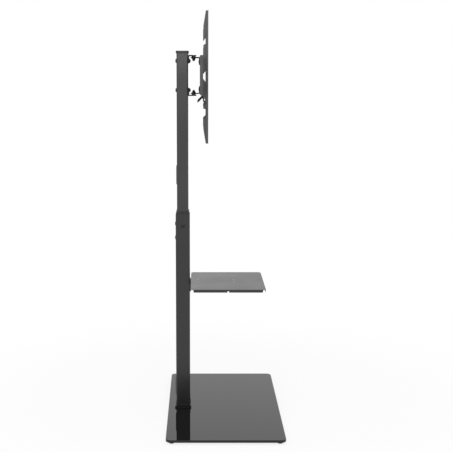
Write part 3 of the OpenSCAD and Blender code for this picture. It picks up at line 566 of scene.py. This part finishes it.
def piece(name, bm, body, materials, replaced=(), sharp=32.0):
    """Turns a mesh in the making into a finished piece that rides on a body."""
    bmesh.ops.recalc_face_normals(bm, faces=bm.faces)
    limit = math.radians(sharp)
    for edge in bm.edges:
        if len(edge.link_faces) == 2 and edge.calc_face_angle(0.0) > limit:
            edge.smooth = False
    mesh = bpy.data.meshes.new(name)
    bm.to_mesh(mesh)
    bm.free()
    for material in materials:
        mesh.materials.append(material)
    made = bpy.data.objects.new(name, mesh)
    bpy.context.scene.collection.objects.link(made)
    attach(made, body)
    if replaced:
        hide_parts(*replaced)
    return made


# Bolts and nuts, along Z with the top of the head at 0; the values are shares of their sizes

ROWS_PER_PITCH = 6
SOCKET_MOUTH = 1.06
BUTTON_RIM = 0.30
BUTTON_FOOT = 0.97
BUTTON_FACE = 0.58
BUTTON_SOCKET = 0.74
BUTTON_SOCKET_DEPTH = 0.62
FLAT_HEAD = ((0.985, 0.07), (1, 0.03), (0.96, 0))
FLAT_SOCKET = 0.78
FLAT_SOCKET_DEPTH = 0.6
NUT_CHAMFER = 0.045
NUT_FACE = 0.475
NUT_EDGE_STEPS = 4
NUT_EDGE_STEP = 0.035
NUT_BORE_MOUTH = 1.12
NUT_COLLAR = ((0.43, 0.1), (0.43, 0.6), (0.39, 1))
SCREW_POINT_CUT = 1.6
SCREW_POINT = ((0.8, 0), (1, 1))
SCREW_POINT_NECK = 0.9
SCREW_HEAD = ((0.96, 1), (1, 0.85), (1, 0.18), (0.94, 0))
SCREW_SOCKET = 0.9
SCREW_SOCKET_DEPTH = 0.6


def thread_rings(radius, low, high, pitch, depth):
    """Rings whose radius winds in and out as a thread."""
    rows = max(2, round((high - low) / pitch * ROWS_PER_PITCH))
    rings = []
    for row in range(rows + 1):
        height = low + (high - low) * row / rows
        ring = []
        for i in range(ROUND_STEPS):
            turn = math.tau * i / ROUND_STEPS
            wind = (height / pitch - i / ROUND_STEPS) % 1.0
            reach = radius - depth * abs(2 * wind - 1)
            ring.append((reach * math.cos(turn), reach * math.sin(turn), height))
        rings.append(ring)
    return rings


def shank_rings(radius, tip, top, pitch, depth, threaded):
    """A shank from its chamfered tip up to top, threaded over its last part."""
    start = min(top, tip + threaded)
    rings = [circle(radius - 2 * depth, tip), circle(radius - depth, tip + depth)]
    rings += thread_rings(radius, tip + 2 * depth, start, pitch, depth)
    return rings + [circle(radius, min(top, start + depth)), circle(radius, top)]


def socket_rings(flats, top, floor):
    """A hexagonal socket, from its mouth down to its floor."""
    mouth = top - (top - floor) / 8
    return [hexagon(flats * SOCKET_MOUTH, top), hexagon(flats, mouth), hexagon(flats, floor)]


def button_bolt(bm, place, hardware, radius, head_radius, head_height, reach, pitch):
    """A bolt with a domed head and a hexagonal socket."""
    rim = head_height * BUTTON_RIM
    rings = shank_rings(radius, -reach, -head_height, pitch, hardware.thread_depth, hardware.thread_seen)
    rings += [circle(head_radius * BUTTON_FOOT, -head_height), circle(head_radius, -head_height + rim / 2)]
    for i in range(DOME_STEPS + 1):
        turn = math.pi / 2 * i / DOME_STEPS
        rings.append(circle(head_radius * (BUTTON_FACE + (1 - BUTTON_FACE) * math.cos(turn)),
                            -head_height + rim + (head_height - rim) * math.sin(turn)))
    socket = socket_rings(head_radius * BUTTON_SOCKET, 0, -head_height * BUTTON_SOCKET_DEPTH)
    skin(bm, rings + socket, place)


def countersunk_bolt(bm, place, hardware, radius, head_radius, cone, reach):
    """A flat-headed bolt with a hexagonal socket."""
    depth, threaded = hardware.thread_depth, hardware.thread_seen
    rings = shank_rings(radius, -reach, -cone, hardware.coarse_pitch, depth, threaded)
    rings += [circle(head_radius * wide, -cone * deep) for wide, deep in FLAT_HEAD]
    skin(bm, rings + socket_rings(head_radius * FLAT_SOCKET, 0, -cone * FLAT_SOCKET_DEPTH), place)


def hex_nut(bm, place, flats, bore, tall, collar=0.0):
    """A nut from 0 up to tall, chamfered all round, with an optional round collar on top."""
    body = tall - collar
    chamfer = flats * NUT_CHAMFER
    rings = [circle(bore, 0), circle(bore * NUT_BORE_MOUTH, 0), circle(flats * NUT_FACE, 0)]
    steps = range(1, NUT_EDGE_STEPS + 1)
    edge = [(chamfer * i / 2, flats * (NUT_FACE + NUT_EDGE_STEP * i)) for i in steps]
    rings += [hexagon(flats, rise, limit) for rise, limit in edge]
    rings += [hexagon(flats, body - rise, limit) for rise, limit in reversed(edge)]
    rings.append(circle(flats * NUT_FACE, body))
    if collar:
        rings += [circle(flats * wide, body + collar * rise) for wide, rise in NUT_COLLAR]
    rings += [circle(bore * NUT_BORE_MOUTH, tall), circle(bore, tall - bore * (NUT_BORE_MOUTH - 1))]
    skin(bm, rings, place, closed=True)


def fastened(node, body, material, build):
    """Makes one piece of all the fasteners of a node, in place of it."""
    bm = bmesh.new()
    for box in solids_of(node):
        build(bm, box)
    return piece("made_" + node, bm, body, [material], [node])


# Operators

class TVSTAND_OT_carry_frame(Operator):
    """Give the carried solids their finishes and soften their cut edges"""

    bl_idname = "tv_stand.carry_frame"
    bl_label = "Finish the Frame"

    SOFTENED_FROM = math.radians(35)
    SLOT_FINISHES = {
        "black_glass": "Painted glass",
        "satin_black_steel": "Column coat",
        "matt_black_steel": "Bracket coat",
        "black_fasteners": "Black plating",
        "bare_steel": "Zinc plating",
        "black_plastic": "Moulded plastic",
        "black_nylon": "Nylon",
        "black_rubber": "Rubber",
    }
    NODE_FINISHES = {
        "foot_plate": "Foot coat",
        "upper_tube": "Upper column coat",
        "mount_rail": "Mount coat",
        "left_arm": "Mount coat",
        "right_arm": "Mount coat",
        "shelf_tray": "Shelf coat",
        "rail_end_caps": "Rail cap plastic",
    }

    def execute(self, context):
        scene = context.scene
        made = finishes(scene.tv_stand_finish)
        trim = scene.tv_stand_trim
        for part in frame["record"]["subparts"]:
            node = part["node"]
            solid = frame["nodes"][node]
            finish = self.NODE_FINISHES.get(node, self.SLOT_FINISHES[part["material_slot"]])
            for slot in solid.material_slots:
                slot.material = made[finish]
            softened = solid.modifiers.new("Softened edges", "BEVEL")
            softened.width = trim.glass_round if finish == "Painted glass" else trim.sheet_round
            softened.segments = 2
            softened.limit_method = "ANGLE"
            softened.angle_limit = self.SOFTENED_FROM
            softened.harden_normals = True
        return {"FINISHED"}


class TVSTAND_OT_make_feet(Operator):
    """Turn the rubber feet, with a groove round each"""

    bl_idname = "tv_stand.make_feet"
    bl_label = "Rubber Feet"

    # Share of the radius, share of the groove cut away, and share of the height
    PROFILE = (
        (0.3276, 0, 0.12), (0.3588, 0, 0), (0.78, 0, 0), (0.84, 0, 0.06), (0.88, 0, 0.16), (0.93, 0, 0.50),
        (0.94, 1, 0.56), (0.95, 1, 0.62), (0.97, 0, 0.68), (1, 0, 0.93), (0.985, 0, 1),
    )

    def execute(self, context):
        trim = context.scene.tv_stand_trim
        bm = bmesh.new()
        for low, high in solids_of("base_feet"):
            radius, tall = (high.x - low.x) / 2, high.z - low.z
            centre = (low + high) / 2
            rings = [circle(radius * wide - trim.foot_groove * cut, tall * rise)
                     for wide, cut, rise in self.PROFILE]
            skin(bm, rings, Matrix.Translation((centre.x, centre.y, low.z)))
        rubber_finish = finishes(context.scene.tv_stand_finish)["Rubber"]
        piece("turned_feet", bm, "stand", [rubber_finish], ["base_feet"])
        return {"FINISHED"}


class TVSTAND_OT_make_weld(Operator):
    """Lay the rippled weld between the lower tube and its foot plate"""

    bl_idname = "tv_stand.make_weld"
    bl_label = "Foot Weld"

    ARC_STEPS = 6
    BOW = 0.3
    RIPPLE_SHARE = 0.05
    LEG_SHARE = 0.98
    STEPS_PER_RIPPLE = 8

    def execute(self, context):
        trim = context.scene.tv_stand_trim
        low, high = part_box("lower_tube")
        width, depth = high.x - low.x, high.y - low.y
        centre = Vector(((low.x + high.x) / 2, (low.y + high.y) / 2, low.z))
        path = self.path(width, depth, trim)
        rings = []
        for step in range(self.ARC_STEPS + 1):
            turn = math.pi / 2 * step / self.ARC_STEPS
            bow = self.BOW * math.sin(2 * turn)
            ring = []
            for point, outward, travelled in path:
                wave = math.sin(math.tau * (travelled / trim.weld_ripple + bow))
                leg = trim.weld_leg * (1 + self.RIPPLE_SHARE * wave)
                out = point + outward * leg * (1 - math.sin(turn) * self.LEG_SHARE)
                ring.append((out.x, out.y, leg * (1 - math.cos(turn)) * self.LEG_SHARE))
            rings.append(ring)
        root = trim.weld_leg / 4
        rings.append([(point.x - outward.x * root, point.y - outward.y * root, 0)
                      for point, outward, _ in path])
        bm = bmesh.new()
        skin(bm, rings, Matrix.Translation(centre), closed=True)
        coat = finishes(context.scene.tv_stand_finish)["Weld coat"]
        piece("foot_weld", bm, "stand", [coat], sharp=70.0)
        return {"FINISHED"}

    def path(self, width, depth, trim):
        """(point, outward, distance) round the foot of the tube."""
        corner = trim.guide_corner
        outline = [Vector(p) for p in rounded(width, depth, corner, 0)]
        stations, travelled = [], 0.0
        for start, end in zip(outline, outline[1:] + outline[:1]):
            run = end - start
            if run.length < SAME_POINT / 10:
                continue
            pieces = max(1, round(run.length / (trim.weld_ripple / self.STEPS_PER_RIPPLE)))
            outward = Vector((run.y, -run.x, 0)).normalized()
            for i in range(pieces):
                stations.append((start + run * i / pieces, outward, travelled + run.length * i / pieces))
            travelled += run.length
        return stations


class TVSTAND_OT_make_ports(Operator):
    """Mould the two cable port grommets with rounded rims"""

    bl_idname = "tv_stand.make_ports"
    bl_label = "Cable Ports"

    BROW_SHARE = 1.6
    MOUTH_CHAMFER = 0.0002
    BARB_CHAMFER = 0.0003

    def execute(self, context):
        plastic = finishes(context.scene.tv_stand_finish)["Moulded plastic"]
        for node, body in (("lower_grommet", "stand"), ("upper_grommet", "upper_column")):
            bm = bmesh.new()
            self.grommet(bm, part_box(node), context.scene.tv_stand_trim)
            piece("moulded_" + node, bm, body, [plastic], [node])
        return {"FINISHED"}

    def grommet(self, bm, box, trim):
        """A grommet's section, taken round its oblong outline."""
        low, high = box
        width, tall = high.x - low.x, high.z - low.z
        deep = high.y - low.y
        tube_face = deep - trim.port_proud
        neck_end = trim.port_barb
        section = [(trim.port_rim, self.MOUTH_CHAMFER), (trim.port_rim, deep - trim.edge_round)]
        section += [(trim.port_rim - inset, deep - trim.edge_round + rise)
                    for inset, rise in quarter_round(trim.edge_round)]
        brow = trim.edge_round * self.BROW_SHARE
        section += [(brow - rise, deep - inset) for inset, rise in quarter_round(brow)]
        section += [(0, tube_face), (trim.port_neck, tube_face), (trim.port_neck, neck_end)]
        section += [(trim.port_barb_inset, neck_end), (trim.port_barb_inset, self.BARB_CHAMFER)]
        section += [(trim.port_barb_inset + self.BARB_CHAMFER, 0), (trim.port_rim - self.MOUTH_CHAMFER, 0)]
        rings = [oblong(width - 2 * inset, tall - 2 * inset, height) for inset, height in section]
        place = along(face_centre(box, -REAR), REAR)
        skin(bm, rings, place, closed=True)


class TVSTAND_OT_make_caps(Operator):
    """Mould the top cap and the guide's lip with rounded edges"""

    bl_idname = "tv_stand.make_caps"
    bl_label = "Caps and Guide"

    # Shares of the cap's depth in from its edge, and of the crown's rise
    CROWN = ((0.16, 0.55), (0.32, 0.9), (0.46, 1))
    CAP_ROUND = 1.5
    GUIDE_ROUND = 0.7

    def execute(self, context):
        plastic = finishes(context.scene.tv_stand_finish)["Moulded plastic"]
        trim = context.scene.tv_stand_trim
        rows = (
            ("cap", "top_cap", "upper_column", self.cap),
            ("guide", "column_bushing", "stand", self.guide),
        )
        for name, node, body, mould in rows:
            bm = bmesh.new()
            mould(bm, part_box(node), trim)
            piece("moulded_" + name, bm, body, [plastic], [node])
        return {"FINISHED"}

    def cap(self, bm, box, trim):
        """The plug, the overhang with its rounded edges, and a slightly crowned top."""
        low, high = box
        width, depth, tall = high - low
        plug = trim.cap_plug_inset
        under = tall - trim.cap_face_height
        crown, chamfer = trim.edge_round / 2, trim.edge_round / 3
        face, soft = tall - crown, trim.edge_round * self.CAP_ROUND
        section = [(plug, 0), (plug, under), (chamfer, under), (0, under + chamfer)]
        section += [(inset, face - soft + rise) for inset, rise in quarter_round(soft)]
        section += [(depth * inward, face + crown * rise) for inward, rise in self.CROWN]
        rings = []
        for inset, height in section:
            corner = max(crown, trim.cap_corner - inset)
            corner = min(corner, depth / 2 - inset - chamfer / 3)
            rings.append(rounded(width - 2 * inset, depth - 2 * inset, corner, height))
        skin(bm, rings, along(face_centre(box, -UP), UP))

    def guide(self, bm, box, trim):
        """The sleeve inside the lower tube and the stepped lip on its rim."""
        low, high = box
        width, depth, tall = high - low
        rim = tall - trim.lip_height
        foot = rim + trim.lip_foot_height
        soft = trim.edge_round * self.GUIDE_ROUND
        section = [(trim.guide_sleeve_inset, 0), (trim.guide_sleeve_inset, rim), (0, rim), (0, foot - soft)]
        section += [(inset, foot - soft + rise) for inset, rise in quarter_round(soft)]
        section += [(trim.lip_step, foot), (trim.lip_step, tall - soft)]
        section += [(trim.lip_step + inset, tall - soft + rise) for inset, rise in quarter_round(soft)]
        section += [(trim.guide_wall, tall), (trim.guide_wall, 0)]
        rings = [rounded(width - 2 * inset, depth - 2 * inset, max(soft, trim.guide_corner - inset), height)
                 for inset, height in section]
        skin(bm, rings, along(face_centre(box, -UP), UP), closed=True)


class TVSTAND_OT_make_bolts(Operator):
    """Turn the button-head bolts and screws, with sockets and threads"""

    bl_idname = "tv_stand.make_bolts"
    bl_label = "Bolts and Screws"

    COARSE_FROM = 0.0035

    def execute(self, context):
        hardware = context.scene.tv_stand_hardware
        made = finishes(context.scene.tv_stand_finish)
        black, zinc = made["Black plating"], made["Zinc plating"]
        rows = (
            ("mount_bolts", "upper_column", REAR, hardware.mount_bolt, hardware.mount_head, black),
            ("clamp_bolts", "stand", REAR, hardware.clamp_bolt, hardware.clamp_head, black),
            ("shelf_bracket_bolts", "stand", -REAR, hardware.bracket_bolt, hardware.bracket_head, black),
            ("head_bolts", "swivel_head", REAR, hardware.head_bolt, hardware.head_head, black),
            ("base_bolts", "stand", -UP, hardware.base_bolt, hardware.base_head, zinc),
            ("side_screws", "stand", RIGHT, hardware.side_screw, hardware.side_head, black),
        )
        for node, body, axis, radius, head, material in rows:
            fastened(node, body, material, self.builder(hardware, axis, radius, head))
        fastened("pivot_bolts", "upper_column", black, self.pivot(hardware))
        return {"FINISHED"}

    def builder(self, hardware, axis, radius, head):
        """Builds one button-head bolt in its solid's box; side screws point out of either side."""
        def build(bm, box):
            out = -axis if axis == RIGHT and (box[0] + box[1]).x < 0 else axis
            across = UP if axis == RIGHT else RIGHT
            button_bolt(bm, along(face_centre(box, out), out), hardware, radius,
                        extent(box, across) / 2, head, extent(box, out),
                        hardware.coarse_pitch if radius > self.COARSE_FROM else hardware.fine_pitch)
        return build

    def pivot(self, hardware):
        """Builds one countersunk pivot bolt, whose head faces away from the middle of the swivel."""
        low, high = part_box("pivot_bolts")
        middle = (low.z + high.z) / 2

        def build(bm, box):
            out = UP if box[0].z > middle else -UP
            countersunk_bolt(bm, along(face_centre(box, out), out), hardware, hardware.pivot_bolt,
                             extent(box, RIGHT) / 2, hardware.pivot_cone, extent(box, UP))
        return build


class TVSTAND_OT_make_nuts(Operator):
    """Cut the hexagon nuts, with chamfers, and the collars of the swivel's lock nuts"""

    bl_idname = "tv_stand.make_nuts"
    bl_label = "Nuts"

    def execute(self, context):
        hardware = context.scene.tv_stand_hardware
        made = finishes(context.scene.tv_stand_finish)
        black, zinc = made["Black plating"], made["Zinc plating"]
        low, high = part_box("pivot_nuts")
        middle = (low.z + high.z) / 2

        def to_front(bm, box, bore):
            hex_nut(bm, along(face_centre(box, REAR), -REAR), extent(box, UP), bore, extent(box, REAR))

        def to_floor(bm, box):
            hex_nut(bm, along(face_centre(box, UP), -UP), extent(box, REAR), hardware.stud, extent(box, UP))

        def to_middle(bm, box):
            inward = -UP if box[0].z > middle else UP
            hex_nut(bm, along(face_centre(box, -inward), inward), extent(box, REAR), hardware.pivot_bolt,
                    extent(box, UP), hardware.lock_collar)

        fastened("mount_nuts", "upper_column", black,
                 lambda bm, box: to_front(bm, box, hardware.mount_bolt))
        fastened("head_nuts", "swivel_head", black,
                 lambda bm, box: to_front(bm, box, hardware.head_bolt))
        fastened("shelf_nuts", "stand", zinc, to_floor)
        fastened("pivot_nuts", "upper_column", black, to_middle)
        return {"FINISHED"}


class TVSTAND_OT_make_lock_screws(Operator):
    """Turn the slanted locking screws under the rail, threaded, with bare points"""

    bl_idname = "tv_stand.make_lock_screws"
    bl_label = "Locking Screws"

    def execute(self, context):
        hardware = context.scene.tv_stand_hardware
        made = finishes(context.scene.tv_stand_finish)
        for side in ("left", "right"):
            node = side + "_lock_screw"
            bm = bmesh.new()
            self.screw(bm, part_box(node), hardware)
            piece("turned_" + node, bm, side + "_arm_set",
                  [made["Black plating"], made["Zinc plating"]], [node])
        return {"FINISHED"}

    def screw(self, bm, box, hardware):
        """A screw slanted by an eighth of a turn, from its box's corners."""
        low, high = box
        slant = Vector((0, -1, 1)).normalized()
        head_radius = (high.x - low.x) / 2
        reach = (high.z - low.z) * math.sqrt(2) - head_radius - hardware.lock_screw
        edge = hardware.lock_screw / math.sqrt(2)
        tip = Vector(((low.x + high.x) / 2, high.y - edge, low.z + edge))
        place = along(tip + slant * reach, slant)
        head, depth = hardware.lock_head, hardware.thread_depth
        point_radius = hardware.lock_screw - depth * SCREW_POINT_CUT
        shoulder = -reach + hardware.lock_point
        point = [circle(point_radius * wide, -reach + depth * rise) for wide, rise in SCREW_POINT]
        point.append(circle(point_radius, shoulder - depth / 2))
        point.append(circle(point_radius * SCREW_POINT_NECK, shoulder))
        skin(bm, point, place, shade=1)
        radius, pitch = hardware.lock_screw, hardware.fine_pitch
        rings = [circle(point_radius, shoulder - depth / 4), circle(radius - depth, shoulder + depth)]
        rings += thread_rings(radius, shoulder + depth, -head - depth, pitch, depth)
        rings.append(circle(radius, -head))
        rings += [circle(head_radius * wide, -head * deep) for wide, deep in SCREW_HEAD]
        skin(bm, rings + socket_rings(head_radius * SCREW_SOCKET, 0, -head * SCREW_SOCKET_DEPTH), place)


class TVSTAND_OT_make_stage(Operator):
    """Set up the camera, the lamps, the white room and the floor"""

    bl_idname = "tv_stand.make_stage"
    bl_label = "Stage"

    def execute(self, context):
        settings = context.scene.tv_stand_stage
        context.scene.view_settings.view_transform = "Standard"
        self.camera(context, settings)
        self.lamp(context, "Key lamp", settings.key_place, settings.key_size, settings.key_power)
        self.lamp(context, "Top lamp", settings.top_place, settings.top_size, settings.top_power)
        self.room(context, settings)
        self.floor(context, settings)
        return {"FINISHED"}

    def camera(self, context, settings):
        """The camera at the photograph's place, looking along the stand's width."""
        data = bpy.data.cameras.new("Camera")
        data.sensor_width = settings.sensor
        data.lens = settings.lens
        data.shift_x = settings.shift
        camera = bpy.data.objects.new("Camera", data)
        camera.location = (-settings.camera_distance, settings.camera_rear, settings.camera_height)
        camera.rotation_euler = (math.pi / 2 - settings.camera_tilt, 0, -math.pi / 2)
        context.scene.collection.objects.link(camera)
        context.scene.camera = camera

    def lamp(self, context, name, place, size, power):
        """A square soft lamp at place, turned to the middle of the stand."""
        data = bpy.data.lights.new(name, "AREA")
        data.shape = "SQUARE"
        data.size = size
        data.energy = power
        lamp = bpy.data.objects.new(name, data)
        lamp.location = place
        middle = (CAD_BOX[0] + CAD_BOX[1]) / 2
        lamp.rotation_euler = (middle - Vector(place)).to_track_quat("-Z", "Y").to_euler()
        context.scene.collection.objects.link(lamp)

    def room(self, context, settings):
        """A white room that lights the object at a plain level."""
        world = bpy.data.worlds.new("White room")
        world.use_nodes = True
        nodes = Nodes(world.node_tree)
        background = nodes.tree.nodes["Background"]
        background.inputs["Color"].default_value = (1, 1, 1, 1)
        level = nodes.spread(nodes.seen(), settings.room_level, 1.0)
        nodes.tree.links.new(level, background.inputs["Strength"])
        context.scene.world = world

    def floor(self, context, settings):
        """A white floor that keeps a faint shadow."""
        half = settings.floor_size / 2
        mesh = bpy.data.meshes.new("Floor")
        corners = [(-half, -half, 0), (half, -half, 0), (half, half, 0), (-half, half, 0)]
        mesh.from_pydata(corners, [], [(0, 1, 2, 3)])
        floor = bpy.data.objects.new("Floor", mesh)
        context.scene.collection.objects.link(floor)
        mesh.materials.append(self.floor_paper(settings))

    def floor_paper(self, settings):
        """Paper that shows white, and shows its shadows only faintly and near the object."""
        finish = Finish("Floor paper")
        lightness = (settings.floor_paper,) * 3
        paper = finish.add("ShaderNodeBsdfDiffuse", {"Color": (*lightness, 1)}).outputs["BSDF"]
        glow = finish.add("ShaderNodeEmission", {"Strength": 1.0}).outputs["Emission"]
        reach = finish.add("ShaderNodeVectorMath", {0: finish.coords}, operation="LENGTH").outputs["Value"]
        fade = finish.add("ShaderNodeMapRange", {
            "Value": reach, "From Min": settings.shadow_near, "From Max": settings.shadow_far,
            "To Min": 1.0 - settings.floor_shadow, "To Max": 1.0,
        }, interpolation_type="SMOOTHSTEP").outputs["Result"]
        white = finish.math("MULTIPLY", finish.seen(), fade)
        mixed = finish.add("ShaderNodeMixShader", {"Fac": white, 1: paper, 2: glow})
        return finish.show(mixed.outputs["Shader"])


class TVSTAND_PT_panel(Panel):
    """Lists the stand's makers and settings"""

    bl_idname = "TVSTAND_PT_panel"
    bl_label = "TV Stand"
    bl_space_type = "VIEW_3D"
    bl_region_type = "UI"
    bl_category = "TV Stand"

    def draw(self, context):
        layout = self.layout
        for maker in MAKERS:
            layout.operator(maker.bl_idname)
        for name in SETTINGS:
            box = layout.box()
            group = getattr(context.scene, name)
            for key in group.bl_rna.properties.keys():
                if key not in ("rna_type", "name"):
                    box.prop(group, key)


MAKERS = (
    TVSTAND_OT_make_stage,
    TVSTAND_OT_carry_frame,
    TVSTAND_OT_make_feet,
    TVSTAND_OT_make_weld,
    TVSTAND_OT_make_ports,
    TVSTAND_OT_make_caps,
    TVSTAND_OT_make_bolts,
    TVSTAND_OT_make_nuts,
    TVSTAND_OT_make_lock_screws,
)
SETTINGS = {
    "tv_stand_finish": FinishSettings,
    "tv_stand_trim": TrimSettings,
    "tv_stand_hardware": HardwareSettings,
    "tv_stand_stage": StageSettings,
}


def register():
    """Adds the settings, the makers and the panel."""
    for name, group in SETTINGS.items():
        bpy.utils.register_class(group)
        setattr(bpy.types.Scene, name, PointerProperty(type=group))
    for cls in (*MAKERS, TVSTAND_PT_panel):
        bpy.utils.register_class(cls)


def unregister():
    """Takes them away again."""
    for cls in reversed((*MAKERS, TVSTAND_PT_panel)):
        bpy.utils.unregister_class(cls)
    for name, group in reversed(list(SETTINGS.items())):
        delattr(bpy.types.Scene, name)
        bpy.utils.unregister_class(group)


def main():
    """Makes the whole stand."""
    register()
    bpy.ops.tv_stand.make_stage()
    bpy.ops.tv_stand.carry_frame()
    bpy.ops.tv_stand.make_feet()
    bpy.ops.tv_stand.make_weld()
    bpy.ops.tv_stand.make_ports()
    bpy.ops.tv_stand.make_caps()
    bpy.ops.tv_stand.make_bolts()
    bpy.ops.tv_stand.make_nuts()
    bpy.ops.tv_stand.make_lock_screws()


if __name__ == "__main__":
    main()
